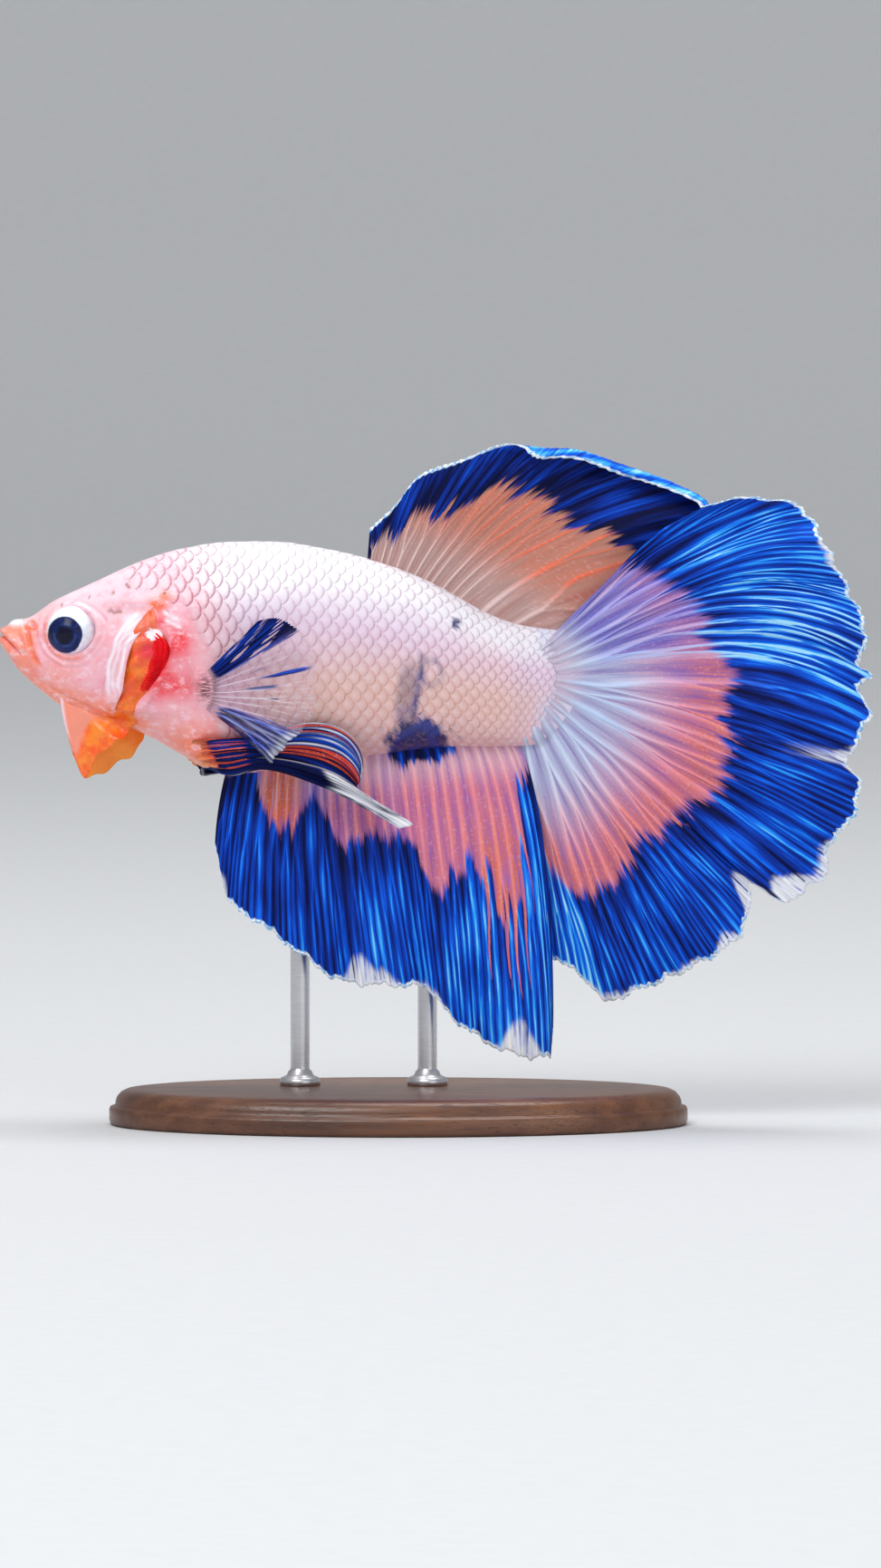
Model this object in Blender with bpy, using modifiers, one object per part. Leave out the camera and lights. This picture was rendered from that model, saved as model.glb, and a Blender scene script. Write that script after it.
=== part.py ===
"""A halfmoon betta fish at life size, still, on a plain display stand.

The fish looks along -X with its left side towards -Y. Lengths are in millimetres
until the last step of each piece, which brings them to metres. The origin is the
middle of the underside of the stand's base.
"""

import math

import bmesh
import bpy
import numpy as np
from mathutils import Matrix, Vector

# Driving sizes, in millimetres.
MM = 0.001
GAP = 0.3  # between neighbouring pieces
FIN_THICK = 0.5
COVER_THICK = 0.5

SNOUT_X, TAIL_END_X = -32.95, 15.0
SNOUT_ROUND, TAIL_ROUND = 1.3, 3.0  # lengths over which the two ends close
NECK_X, TAIL_BASE_X = -20.5, 7.5  # where the head and the trunk end
ROUNDNESS = 2.1  # exponent of the cross-section, 2 for an ellipse

EYE_AT = (-27.3, 40.9)
EYE_OUT, EYE_RADIUS, EYE_DEPTH = 2.35, 2.2, 1.5

CAUDAL_HUB = (10.9, 37.1)  # the point that the tail rays fan out from
TAIL_SLANT = 0.3  # the upper part of the tail's base reaches further back
CURL_RADIUS = 1.15  # of the dorsal fin's rolled edge

BASE_LENGTH, BASE_WIDTH, BASE_THICK, BASE_EDGE = 48.0, 26.0, 3.0, 0.6
ROD_RADIUS, ROD_Y, ROD_SINK = 0.8, 3.0, 1.6
ROD_STATIONS = {"stand_rod_front": -8.2, "stand_rod_rear": 2.4}

COLOURS = {
    "flesh": ((0.90, 0.62, 0.62), 0.35, 0.0),
    "gill_orange": ((0.93, 0.30, 0.08), 0.35, 0.0),
    "gill_red": ((0.80, 0.02, 0.05), 0.30, 0.0),
    "eye": ((0.02, 0.03, 0.08), 0.10, 0.0),
    "fin_blue": ((0.03, 0.12, 0.60), 0.35, 0.0),
    "fin_rose": ((0.80, 0.36, 0.28), 0.35, 0.0),
    "walnut": ((0.16, 0.08, 0.04), 0.45, 0.0),
    "steel": ((0.62, 0.62, 0.64), 0.30, 1.0),
}


def smooth(points):
    """A function through rows of (place, value, ...) that never overshoots them."""
    rows = np.array(points, float)
    at, values = rows[:, 0], rows[:, 1:]
    step = np.diff(at)
    slope = np.diff(values, axis=0) / step[:, None]
    before, after = slope[:-1], slope[1:]
    nearer = (2 * step[1:] + step[:-1])[:, None]
    further = (step[1:] + 2 * step[:-1])[:, None]
    level = before * after <= 0
    mean = (nearer + further) / (
        nearer / np.where(level, 1, before) + further / np.where(level, 1, after)
    )
    tangent = np.vstack([slope[:1], np.where(level, 0, mean), slope[-1:]])

    def value(place):
        place = np.clip(np.asarray(place, float), at[0], at[-1])
        i = np.clip(np.searchsorted(at, place) - 1, 0, len(step) - 1)
        t = ((place - at[i]) / step[i])[..., None]
        found = (
            values[i] * (1 + 2 * t) * (1 - t) ** 2
            + values[i + 1] * t * t * (3 - 2 * t)
            + step[i][..., None] * (tangent[i] * t * (1 - t) ** 2 - tangent[i + 1] * t * t * (1 - t))
        )
        return found[..., 0] if values.shape[1] == 1 else np.moveaxis(found, -1, 0)

    return value


def ease(low, high, value):
    """0 below low, 1 above high, smooth between."""
    t = np.clip((value - low) / (high - low), 0, 1)
    return t * t * (3 - 2 * t)


# The body in side view, in plan and in its gentle sideways bend: (X, size) pairs.
BACK = smooth(
    [
        (-32.95, 41.3), (-31.7, 41.85), (-31.0, 41.9), (-28.5, 43.4), (-25.5, 44.8), (-21, 46.8),
        (-18, 47.7), (-13.5, 48.3), (-10.5, 48.3), (-6, 47.7), (-2.6, 46.9), (1.5, 45.5),
        (4.5, 44.0), (7.5, 42.35), (10.5, 41.3), (13, 40.9), (15, 40.3),
    ]
)
BELLY = smooth(
    [
        (-32.95, 39.6), (-31.5, 37.7), (-30, 36.3), (-28, 34.75), (-25.5, 33.6), (-22, 32.75),
        (-20.5, 32.1), (-18, 30.7), (-16, 29.55), (-13.8, 29.1), (-10.5, 29.4), (-6.5, 29.95),
        (-3, 30.5), (1, 31.05), (4.5, 31.35), (10, 31.4), (15, 31.7),
    ]
)
HALF_WIDTH = smooth(
    [
        (-32.95, 1.0), (-31, 1.9), (-28.5, 2.8), (-25, 3.7), (-21, 4.45), (-16, 4.9),
        (-10, 4.95), (-4, 4.5), (2, 3.6), (8, 2.5), (12, 1.6), (15, 1.0),
    ]
)
SWAY = smooth([(-33, 0.9), (-20, 0.25), (-8, 0.0), (4, -0.1), (12, -0.55), (16, -0.85)])


def closing(x):
    """1 along the body, falling to 0 at the snout's and the tail's round ends."""
    front = np.clip((x - SNOUT_X) / SNOUT_ROUND, 0, 1)
    rear = np.clip((TAIL_END_X - x) / TAIL_ROUND, 0, 1)
    return np.sqrt(1 - (1 - front) ** 2) * np.sqrt(1 - (1 - rear) ** 2)


def mid_height(x):
    return 0.5 * (BACK(x) + BELLY(x))


def tail_slant(x):
    return TAIL_SLANT * ease(TAIL_BASE_X + 1, TAIL_END_X, x)


def flank(x, z):
    """Half the body's width at a point of its side view."""
    middle = mid_height(x)
    half = np.maximum((BACK(x) - middle) * closing(x), 1e-6)
    share = np.clip(np.abs(z - middle) / half, 0, 1)
    return HALF_WIDTH(x) * closing(x) * (1 - share**ROUNDNESS) ** (1 / ROUNDNESS)


# The gill cover in side view, from its top to its bottom: (share, X, Z).
COVER_FRONT = smooth([(0, -24.0, 42.6), (0.33, -24.5, 40.3), (0.66, -24.5, 37.6), (1, -24.0, 35.2)])
COVER_REAR = smooth([(0, -20.9, 42.9), (0.33, -21.8, 40.3), (0.66, -22.6, 37.2), (1, -22.8, 34.9)])
COVER_LIFT, COVER_FLARE = 0.1, 1.1
HOLLOW = 1.0  # depth of the gill chamber below the body's surface


def gill_hollow(x, z):
    """How far the gill chamber is sunk below the body's surface."""
    share = np.clip((42.6 - z) / (42.6 - 35.2), 0, 1)
    front = COVER_FRONT(share)[0]
    lengthways = ease(front - 1.3, front - 0.6, x) * (1 - ease(-19.6, -17.0, x))
    upright = ease(33.2, 34.2, z) * (1 - ease(43.4, 44.4, z))
    return HOLLOW * lengthways * upright


def material(name):
    colour, roughness, metallic = COLOURS[name]
    made = bpy.data.materials.get(name)
    if made is None:
        made = bpy.data.materials.new(name)
        made.use_nodes = True
        shader = made.node_tree.nodes["Principled BSDF"]
        shader.inputs["Base Color"].default_value = (*colour, 1.0)
        shader.inputs["Roughness"].default_value = roughness
        shader.inputs["Metallic"].default_value = metallic
    return made


def clear_scene():
    for obj in list(bpy.data.objects):
        bpy.data.objects.remove(obj, do_unlink=True)


def collection(name):
    made = bpy.data.collections.new(name)
    bpy.context.scene.collection.children.link(made)
    return made


def add(name, mesh, finish, group):
    mesh.shade_smooth()
    mesh.set_sharp_from_angle(angle=math.radians(50))
    mesh.materials.append(material(finish))
    obj = bpy.data.objects.new(name, mesh)
    group.objects.link(obj)
    return obj


def loft(name, rings):
    """A closed mesh over rings of points, each end filled round its middle."""
    bm = bmesh.new()
    rows = [[bm.verts.new(Vector(p) * MM) for p in ring] for ring in rings]
    for row, following in zip(rows, rows[1:]):
        for i in range(len(row)):
            j = (i + 1) % len(row)
            bm.faces.new((row[i], row[j], following[j], following[i]))
    for row in (rows[0], rows[-1]):
        middle = bm.verts.new(sum((v.co for v in row), Vector()) / len(row))
        for i in range(len(row)):
            bm.faces.new((row[i], row[(i + 1) % len(row)], middle))
    bmesh.ops.recalc_face_normals(bm, faces=bm.faces)
    mesh = bpy.data.meshes.new(name)
    bm.to_mesh(mesh)
    bm.free()
    return mesh


def body_ring(x, sides):
    """One cross-section of the body, sunk where the gill chamber is."""
    turn = np.linspace(0, 2 * math.pi, sides, endpoint=False)
    middle = mid_height(x)
    half = (BACK(x) - middle) * closing(x)
    power = 2 / ROUNDNESS
    z = middle + half * np.sign(np.cos(turn)) * np.abs(np.cos(turn)) ** power
    out = HALF_WIDTH(x) * closing(x) * np.abs(np.sin(turn)) ** power
    out = np.maximum(out - gill_hollow(x, z) * ease(0, 2.2, out), 0)
    y = SWAY(x) - np.sign(np.sin(turn)) * out
    back = x + tail_slant(x) * (z - middle)
    return [(float(a), float(b), float(c)) for a, b, c in zip(back, y, z)]


def body_length(name, stations, sides, group):
    return add(name, loft(name, [body_ring(x, sides) for x in stations]), "flesh", group)


def sheet(name, place, columns, rows, thick, finish, group):
    """A thin piece of even thickness. place(along, across) gives its middle surface."""
    bm = bmesh.new()
    bmesh.ops.create_grid(bm, x_segments=columns, y_segments=rows, size=0.5)
    across = np.array([v.co.x + 0.5 for v in bm.verts])
    along = np.array([v.co.y + 0.5 for v in bm.verts])
    points = np.stack(np.broadcast_arrays(*place(along, across)), axis=1)
    for vertex, point in zip(bm.verts, points):
        vertex.co = Vector(point) * MM
    mesh = bpy.data.meshes.new(name)
    bm.to_mesh(mesh)
    bm.free()
    obj = add(name, mesh, finish, group)
    shell = obj.modifiers.new("thickness", "SOLIDIFY")
    shell.thickness = thick * MM
    shell.offset = 0
    return obj


def bowed(root, tip, along, bow):
    """Points along rays from root to tip, bent sideways by bow at the middle."""
    arch = 4 * along * (1 - along) * bow
    x = root[0] + (tip[0] - root[0]) * along + arch
    z = root[1] + (tip[1] - root[1]) * along
    return x, z


# Rays of the dorsal fin: (share, root X, tip X, tip Z).
DORSAL_RAYS = smooth(
    [
        (0, -2.6, -2.35, 49.4), (0.1, -1.5, -0.2, 51.4), (0.2, -0.4, 1.9, 53.9), (0.3, 0.9, 4.9, 55.0),
        (0.42, 2.25, 9.0, 56.0), (0.54, 3.75, 13.5, 56.1), (0.66, 5.4, 17.4, 54.8),
        (0.78, 7.35, 21.0, 53.7), (0.88, 9.15, 23.8, 52.3), (1, 11.4, 25.4, 50.2),
    ]
)


def dorsal(along, across):
    """The dorsal fin, whose rear edge rolls over towards the fish's left."""
    root_x, tip_x, tip_z = DORSAL_RAYS(across)
    root_z = BACK(root_x) + GAP
    length = np.hypot(tip_x - root_x, tip_z - root_z)
    rolled = ease(0.3, 0.55, across) * (1 - 0.75 * ease(0.8, 1.0, across))
    turn_length = 2.9 * CURL_RADIUS * rolled
    straight = length - CURL_RADIUS * rolled
    run = along * (straight + turn_length)
    angle = np.clip((run - straight) / CURL_RADIUS, 0, None)
    reach = np.minimum(run, straight) + CURL_RADIUS * np.sin(angle)
    share = reach / length
    x, z = bowed((root_x, root_z), (tip_x, tip_z), share, -0.35 * ease(0, 0.5, across))
    wave = 0.55 * share**1.5 * np.sin(2 * math.pi * (1.7 * across + 0.1))
    lean = 1.3 * share * ease(0.5, 1.0, across)
    return x, SWAY(root_x) + wave + lean - CURL_RADIUS * (1 - np.cos(angle)), z


# Rays of the anal fin: (share, root X, tip X, tip Z).
ANAL_RAYS = smooth(
    [
        (0, -14.2, -15.2, 22.9), (0.08, -12.7, -14.1, 18.5), (0.18, -10.5, -11.3, 16.5), (0.28, -8.2, -7.9, 13.9),
        (0.38, -6.0, -4.5, 11.7), (0.48, -3.4, -1.1, 11.5), (0.58, -0.8, 1.9, 11.4), (0.68, 1.9, 4.5, 8.7),
        (0.78, 4.5, 7.5, 6.7), (0.88, 6.9, 10.9, 5.6), (0.95, 8.5, 12.5, 5.6), (1, 9.6, 12.8, 7.6),
    ]
)


def anal(along, across):
    root_x, tip_x, tip_z = ANAL_RAYS(across)
    root_z = BELLY(root_x) - GAP
    bow = -0.2 + 1.25 * ease(0.55, 1.0, across)
    x, z = bowed((root_x, root_z), (tip_x, tip_z), along, bow)
    wave = 0.75 * along**1.3 * np.sin(2 * math.pi * (3.1 * across + 0.15))
    lean = -1.3 * along * ease(0.5, 1.0, across)
    return x, SWAY(root_x) + wave + lean, z


# The tail fan: its rays' directions in degrees above the horizontal, and their reach.
CAUDAL_ROOT_ANGLE = smooth([(0, 71), (0.35, 8), (0.46, -13), (1, -81)])
CAUDAL_TIP_ANGLE = smooth([(0, 44.5), (1, -86)])
CAUDAL_TIP_REACH = smooth(
    [
        (0, 20.1), (0.06, 24.7), (0.12, 26.5), (0.3, 27.8), (0.46, 28.5), (0.55, 29.5),
        (0.67, 28.9), (0.75, 28.3), (0.92, 28.2), (0.96, 27.0), (1, 23.7),
    ]
)
# Notches of the tail's edge: (share, depth, width as a share).
CAUDAL_NOTCHES = [(0.335, 0.7, 0.008), (0.475, 1.1, 0.012), (0.56, 0.8, 0.01), (0.68, 1.5, 0.016)]


def caudal_edge(across):
    reach = CAUDAL_TIP_REACH(across)
    for share, depth, width in CAUDAL_NOTCHES:
        reach = reach - depth * np.exp(-(((across - share) / width) ** 2))
    return reach


def caudal_root_reach(degrees):
    """Distance from the hub to the outline of the tail's base, in a direction."""
    x = np.linspace(TAIL_BASE_X + 1, TAIL_END_X, 200)
    half = (BACK(x) - mid_height(x)) * closing(x)
    over = np.concatenate([half, -half[::-1]])
    x = np.concatenate([x, x[::-1]])
    rise = mid_height(x) + over - CAUDAL_HUB[1]
    run = x + tail_slant(x) * over - CAUDAL_HUB[0]
    bearing = np.degrees(np.arctan2(rise, run))
    return np.interp(degrees, bearing[::-1], np.hypot(run, rise)[::-1]) + GAP + 0.1


def polar(hub, degrees, reach):
    angle = np.radians(degrees)
    return hub[0] + reach * np.cos(angle), hub[1] + reach * np.sin(angle)


def caudal(along, across):
    root_angle = CAUDAL_ROOT_ANGLE(across)
    root = polar(CAUDAL_HUB, root_angle, caudal_root_reach(root_angle))
    tip = polar(CAUDAL_HUB, CAUDAL_TIP_ANGLE(across), caudal_edge(across))
    x, z = bowed(root, tip, along, 0.0)
    z = z + 2.4 * along * (1 - along) * ease(0.0, 0.25, across) * (1 - ease(0.25, 0.5, across))
    twist = (-2.3 + 4.6 * across) * along**1.2
    fold = 0.9 * along**1.4 * np.sin(2 * math.pi * (3.6 * across + 0.05))
    return x, SWAY(root[0]) + twist + fold, z


# Rays of the left pectoral fin: (share, root X, root Z, tip X, tip Z).
PECTORAL_RAYS = smooth(
    [
        (0, -15.8, 37.7, -11.4, 42.1), (0.15, -15.7, 37.3, -10.1, 42.3), (0.28, -15.6, 36.9, -8.8, 41.8),
        (0.4, -15.6, 36.5, -7.5, 40.3), (0.52, -15.6, 36.2, -6.7, 38.0), (0.64, -15.7, 35.8, -6.7, 35.8),
        (0.78, -15.8, 35.4, -7.4, 33.6), (0.9, -15.9, 35.0, -9.2, 31.7), (1, -16.0, 34.7, -10.5, 30.1),
    ]
)


def pectoral(side, spread):
    """A pectoral fin, standing off the flank. side is -1 for left; spread is its tip's distance."""

    def place(along, across):
        root_x, root_z, tip_x, tip_z = PECTORAL_RAYS(across)
        x, z = bowed((root_x, root_z), (tip_x, tip_z), along, 0.0)
        z = z + 1.6 * along * (1 - along) * ease(0.7, 1.0, across)
        ripple = 0.25 * along * np.sin(2 * math.pi * 2.5 * across)
        out = flank(x, z) + GAP + 0.5 * FIN_THICK + 0.1 + spread * along**1.3 + ripple
        return x, SWAY(x) + side * out, z

    return place


# Rays of a pelvic fin, as on the left side: (share, root X, root Z, tip X, tip Z).
PELVIC_RAYS = smooth(
    [
        (0, -16.2, 30.6, -7.6, 32.8), (0.25, -16.4, 30.4, -5.3, 32.0), (0.5, -16.6, 30.3, -3.9, 30.3),
        (0.7, -16.8, 30.2, -3.2, 28.4), (0.85, -16.9, 30.1, -0.9, 26.3), (0.94, -17.0, 30.0, 1.2, 25.0),
        (1, -17.1, 30.0, 0.2, 24.8),
    ]
)


def pelvic(side, droop):
    """A pelvic fin trailing beside the belly. droop turns it down, in degrees."""

    def place(along, across):
        root_x, root_z, tip_x, tip_z = PELVIC_RAYS(across)
        turn = math.radians(droop)
        run, rise = tip_x - root_x, tip_z - root_z
        tip_x, tip_z = (
            root_x + run * math.cos(turn) + rise * math.sin(turn),
            root_z - run * math.sin(turn) + rise * math.cos(turn),
        )
        x, z = bowed((root_x, root_z), (tip_x, tip_z), along, 0.0)
        z = z - 2.2 * along * (1 - along) * ease(0.6, 1.0, across)
        out = 1.9 + 3.4 * ease(0, 0.45, along) - 0.9 * along
        belly = flank(x, np.maximum(z, BELLY(x) + 0.05)) * (z > BELLY(x))
        clear = np.maximum(out, belly + GAP + 0.5 * FIN_THICK + 0.25)
        pleat = 0.3 * along * np.sin(2 * math.pi * 3 * across)
        return x, SWAY(x) + side * (clear + np.abs(pleat)), z

    return place


# The gill membrane: (share, attached X, Z, free X, Z), from behind the gill cover to the chin.
MEMBRANE = smooth(
    [
        (0, -20.3, 42.9, -19.7, 43.3), (0.2, -21.3, 40.2, -20.6, 40.3), (0.4, -22.1, 37.3, -21.1, 37.4),
        (0.55, -22.3, 34.9, -20.9, 34.7), (0.68, -22.9, 33.2, -21.0, 32.3), (0.8, -24.4, 32.6, -22.3, 30.1),
        (0.9, -25.9, 33.0, -24.4, 29.1), (0.96, -26.9, 33.5, -25.8, 28.7), (1, -27.6, 33.9, -26.5, 30.5),
    ]
)


def membrane(side):
    """The orange membrane that edges the gill cover and hangs below the throat."""

    def place(along, across):
        held_x, held_z, free_x, free_z = MEMBRANE(across)
        x, z = bowed((held_x, held_z), (free_x, free_z), along, 0.0)
        rim = flank(held_x, np.maximum(held_z, BELLY(held_x) + 0.9)) + COVER_FLARE
        under = ease(0.5, 0.75, across)
        out = rim * (1 - under) + under * (1.5 + 0.4 * rim) + 0.5 * along * (1 - under)
        ruffle = 0.2 * along * np.sin(2 * math.pi * 4 * across) * under
        return x, SWAY(x) + side * (out - 0.1 + ruffle + 0.7 * under * along), z

    return place


# The gill in the opening behind its cover, from top to bottom: (share, front X, Z, rear X, Z).
GILL = smooth([(0, -20.0, 40.6, -18.2, 40.4), (0.5, -20.6, 38.6, -18.9, 38.2), (1, -20.9, 36.7, -20.0, 36.2)])


def gill(side):
    """A curved blade of red filaments, lying in the gill chamber."""

    def place(along, across):
        front_x, front_z, rear_x, rear_z = GILL(across)
        x, z = bowed((front_x, front_z), (rear_x, rear_z), along, 0.0)
        sunk = HOLLOW * (1 - ease(-19.6, -17.0, x))
        return x, SWAY(x) + side * (flank(x, z) - sunk + GAP + 0.5 * FIN_THICK + 0.05), z

    return place


def gill_cover(side):
    """The bony cover of the gills, flaring towards its rear edge."""

    def place(along, across):
        front, rear = COVER_FRONT(across), COVER_REAR(across)
        x, z = bowed(front, rear, along, 0.0)
        lift = COVER_LIFT + COVER_FLARE * along**1.6 - 0.5 * COVER_THICK
        return x, SWAY(x) + side * (flank(x, z) + lift), z

    return place


def ball(name, centre, radii, group, finish="eye", segments=16, rings=10):
    """An egg-shaped solid whose poles point sideways."""
    bm = bmesh.new()
    bmesh.ops.create_uvsphere(bm, u_segments=segments, v_segments=rings, radius=1)
    scale = Matrix.Diagonal((*[r * MM for r in radii], 1))
    shape = Matrix.Translation(Vector(centre) * MM) @ scale @ Matrix.Rotation(math.pi / 2, 4, "X")
    bmesh.ops.transform(bm, matrix=shape, verts=bm.verts)
    mesh = bpy.data.meshes.new(name)
    bm.to_mesh(mesh)
    bm.free()
    return add(name, mesh, finish, group)


def rod(name, x, y, bottom, top, radius, group, finish="steel"):
    bm = bmesh.new()
    bmesh.ops.create_cone(
        bm, cap_ends=True, segments=16, radius1=radius * MM, radius2=radius * MM, depth=(top - bottom) * MM
    )
    middle = Vector((x, y, (top + bottom) / 2)) * MM
    bmesh.ops.translate(bm, verts=bm.verts, vec=middle)
    mesh = bpy.data.meshes.new(name)
    bm.to_mesh(mesh)
    bm.free()
    return add(name, mesh, finish, group)


def cut(obj, cutter):
    cutter.hide_render = True
    cutter.display_type = "WIRE"
    modifier = obj.modifiers.new("cut_" + cutter.name, "BOOLEAN")
    modifier.operation = "DIFFERENCE"
    modifier.solver = "EXACT"
    modifier.object = cutter


def mouth_cutter(group):
    """A thin wedge that parts the lips, from the corner of the mouth to its tip."""
    corner, tip = Vector((-31.0, 0, 39.0)), Vector((-33.4, 0, 40.9))
    bm = bmesh.new()
    bmesh.ops.create_cube(bm, size=1)
    length = (tip - corner).length
    slope = math.atan2(tip.z - corner.z, corner.x - tip.x)
    centre = (corner + tip) / 2 + Vector((0, SWAY(-32), 0))
    shape = (
        Matrix.Translation(centre * MM)
        @ Matrix.Rotation(slope, 4, "Y")
        @ Matrix.Diagonal((length * MM, 8 * MM, GAP * MM, 1))
    )
    bmesh.ops.transform(bm, matrix=shape, verts=bm.verts)
    mesh = bpy.data.meshes.new("mouth_cutter")
    bm.to_mesh(mesh)
    bm.free()
    return add("mouth_cutter", mesh, "flesh", group)


def make_head(fish, cutters):
    nose = SNOUT_X + SNOUT_ROUND * np.array([0.03, 0.12, 0.3, 0.6, 1.0])
    stations = np.concatenate([nose, np.linspace(-31, NECK_X, 17)])
    head = body_length("head", stations, 26, fish)
    for side, name in ((-1, "eye_left"), (1, "eye_right")):
        x, z = EYE_AT
        centre = (x, float(SWAY(x)) + side * EYE_OUT, z)
        ball(name, centre, (EYE_RADIUS, EYE_DEPTH, EYE_RADIUS), fish)
        room = [r + GAP for r in (EYE_RADIUS, EYE_DEPTH, EYE_RADIUS)]
        cut(head, ball(name + "_socket", centre, room, cutters))
    cut(head, mouth_cutter(cutters))


def make_trunk(fish, cutters):
    stations = np.linspace(NECK_X + GAP, TAIL_BASE_X, 19)
    trunk = body_length("trunk", stations, 24, fish)
    for name, x in ROD_STATIONS.items():
        under = mid_height(x) - (mid_height(x) - BELLY(x)) * math.sqrt(1 - (ROD_Y / HALF_WIDTH(x)) ** 2)
        top = float(under) + ROD_SINK
        rod(name, x, ROD_Y, BASE_THICK + GAP, top, ROD_RADIUS, fish)
        cut(trunk, rod(name + "_hole", x, ROD_Y, top - 8, top + GAP, ROD_RADIUS + GAP, cutters))


def make_tail_base(fish):
    rounding = TAIL_END_X - TAIL_ROUND * np.array([0.5, 0.25, 0.1, 0.02])
    stations = np.concatenate([np.linspace(TAIL_BASE_X + GAP, 12, 5), rounding])
    body_length("tail_base", stations, 24, fish)


def make_fins(fish):
    sheet("dorsal_fin", dorsal, 20, 12, FIN_THICK, "fin_blue", fish)
    sheet("anal_fin", anal, 26, 7, FIN_THICK, "fin_blue", fish)
    sheet("caudal_fin", caudal, 43, 7, FIN_THICK, "fin_blue", fish)
    sheet("pectoral_fin_left", pectoral(-1, 2.6), 12, 5, FIN_THICK, "fin_rose", fish)
    sheet("pectoral_fin_right", pectoral(1, 3.4), 12, 5, FIN_THICK, "fin_rose", fish)
    sheet("pelvic_fin_left", pelvic(-1, 0), 9, 8, FIN_THICK, "fin_rose", fish)
    sheet("pelvic_fin_right", pelvic(1, 14), 9, 8, FIN_THICK, "fin_rose", fish)


def make_gills(fish):
    for side, word in ((-1, "left"), (1, "right")):
        sheet("gill_cover_" + word, gill_cover(side), 7, 6, COVER_THICK, "flesh", fish)
        sheet("gill_membrane_" + word, membrane(side), 14, 3, FIN_THICK, "gill_orange", fish)
        sheet("gill_" + word, gill(side), 3, 5, FIN_THICK, "gill_red", fish)


def make_base(fish):
    """The stand's base: a low oval plate with a softened edge."""
    bpy.ops.mesh.primitive_cylinder_add(vertices=36, radius=0.5, depth=1, location=(0, 0, 0))
    base = bpy.context.object
    base.name = "stand_base"
    shape = Matrix.Translation((0, 0, BASE_THICK / 2 * MM)) @ Matrix.Diagonal(
        (BASE_LENGTH * MM, BASE_WIDTH * MM, BASE_THICK * MM, 1)
    )
    base.data.transform(shape)
    base.data.materials.append(material("walnut"))
    for group in list(base.users_collection):
        group.objects.unlink(base)
    fish.objects.link(base)
    edge = base.modifiers.new("edge", "BEVEL")
    edge.width = BASE_EDGE * MM
    edge.segments = 2
    edge.limit_method = "ANGLE"


clear_scene()
FISH = collection("halfmoon_betta")
CUTTERS = collection("cutters")
make_head(FISH, CUTTERS)
make_trunk(FISH, CUTTERS)
make_tail_base(FISH)
make_gills(FISH)
make_fins(FISH)
make_base(FISH)
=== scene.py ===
# %% [markdown]
# # A halfmoon betta fish, life size, on a plain stand
# The solids of the fish are already made and packed: they are the frame. This lesson dresses
# that frame. Each step says what the piece is on the living fish, how it could be made in
# Blender, and why it is made this way. Lengths are in millimetres until a mesh is built.

# %% Load the frame
import math

import bpy
import numpy as np
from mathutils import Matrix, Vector


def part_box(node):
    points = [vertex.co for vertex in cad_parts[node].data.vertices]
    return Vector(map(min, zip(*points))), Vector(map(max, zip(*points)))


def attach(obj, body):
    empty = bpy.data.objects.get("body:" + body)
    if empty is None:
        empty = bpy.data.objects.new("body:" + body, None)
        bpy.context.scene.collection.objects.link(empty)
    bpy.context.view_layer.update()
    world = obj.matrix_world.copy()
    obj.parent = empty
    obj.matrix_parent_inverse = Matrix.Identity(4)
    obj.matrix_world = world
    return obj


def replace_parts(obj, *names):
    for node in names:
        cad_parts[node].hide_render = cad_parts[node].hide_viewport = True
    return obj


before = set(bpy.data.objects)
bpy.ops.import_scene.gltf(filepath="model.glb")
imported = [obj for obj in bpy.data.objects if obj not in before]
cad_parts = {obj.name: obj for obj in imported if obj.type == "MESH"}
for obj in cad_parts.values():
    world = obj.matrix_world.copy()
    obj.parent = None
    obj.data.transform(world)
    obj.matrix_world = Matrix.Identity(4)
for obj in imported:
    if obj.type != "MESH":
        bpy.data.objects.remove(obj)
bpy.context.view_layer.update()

MM = 0.001
TAU = 2 * math.pi
SIDES = ((-1, "left"), (1, "right"))  # the sign of y and the word for each side
print("frame loaded:", len(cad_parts), "nodes")

# %% [markdown]
# A fish has almost no straight line, so most sizes here are smooth curves through a few
# chosen points. `smooth` joins points without overshooting them, which a plain spline would
# do, and `ease` is a soft step between two values. Both work on whole arrays at once.


# %% Curves through points
def smooth(points):
    """A function through rows of (place, value, ...) that never overshoots them."""
    rows = np.array(points, float)
    at, values = rows[:, 0], rows[:, 1:]
    step = np.diff(at)
    slope = np.diff(values, axis=0) / step[:, None]
    before, after = slope[:-1], slope[1:]
    nearer, further = (2 * step[1:] + step[:-1])[:, None], (step[1:] + 2 * step[:-1])[:, None]
    level = before * after <= 0
    shares = nearer / np.where(level, 1, before) + further / np.where(level, 1, after)
    tangent = np.vstack([slope[:1], np.where(level, 0, (nearer + further) / shares), slope[-1:]])

    def value(place):
        place = np.clip(np.asarray(place, float), at[0], at[-1])
        i = np.clip(np.searchsorted(at, place) - 1, 0, len(step) - 1)
        t = ((place - at[i]) / step[i])[..., None]
        start, end = step[i][..., None] * tangent[i], step[i][..., None] * tangent[i + 1]
        found = values[i] * (1 + 2 * t) * (1 - t) ** 2 + values[i + 1] * t * t * (3 - 2 * t)
        found = found + start * t * (1 - t) ** 2 - end * t * t * (1 - t)
        return found[..., 0] if values.shape[1] == 1 else np.moveaxis(found, -1, 0)

    return value


def ease(low, high, value):
    """0 below low, 1 above high, smooth between."""
    t = np.clip((value - low) / (high - low), 0, 1)
    return t * t * (3 - 2 * t)


def within(share, start, stop):
    """1 along the middle of something that runs from 0 to 1, fading towards its ends."""
    return ease(0, start, share) * (1 - ease(stop, 1, share))


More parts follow.
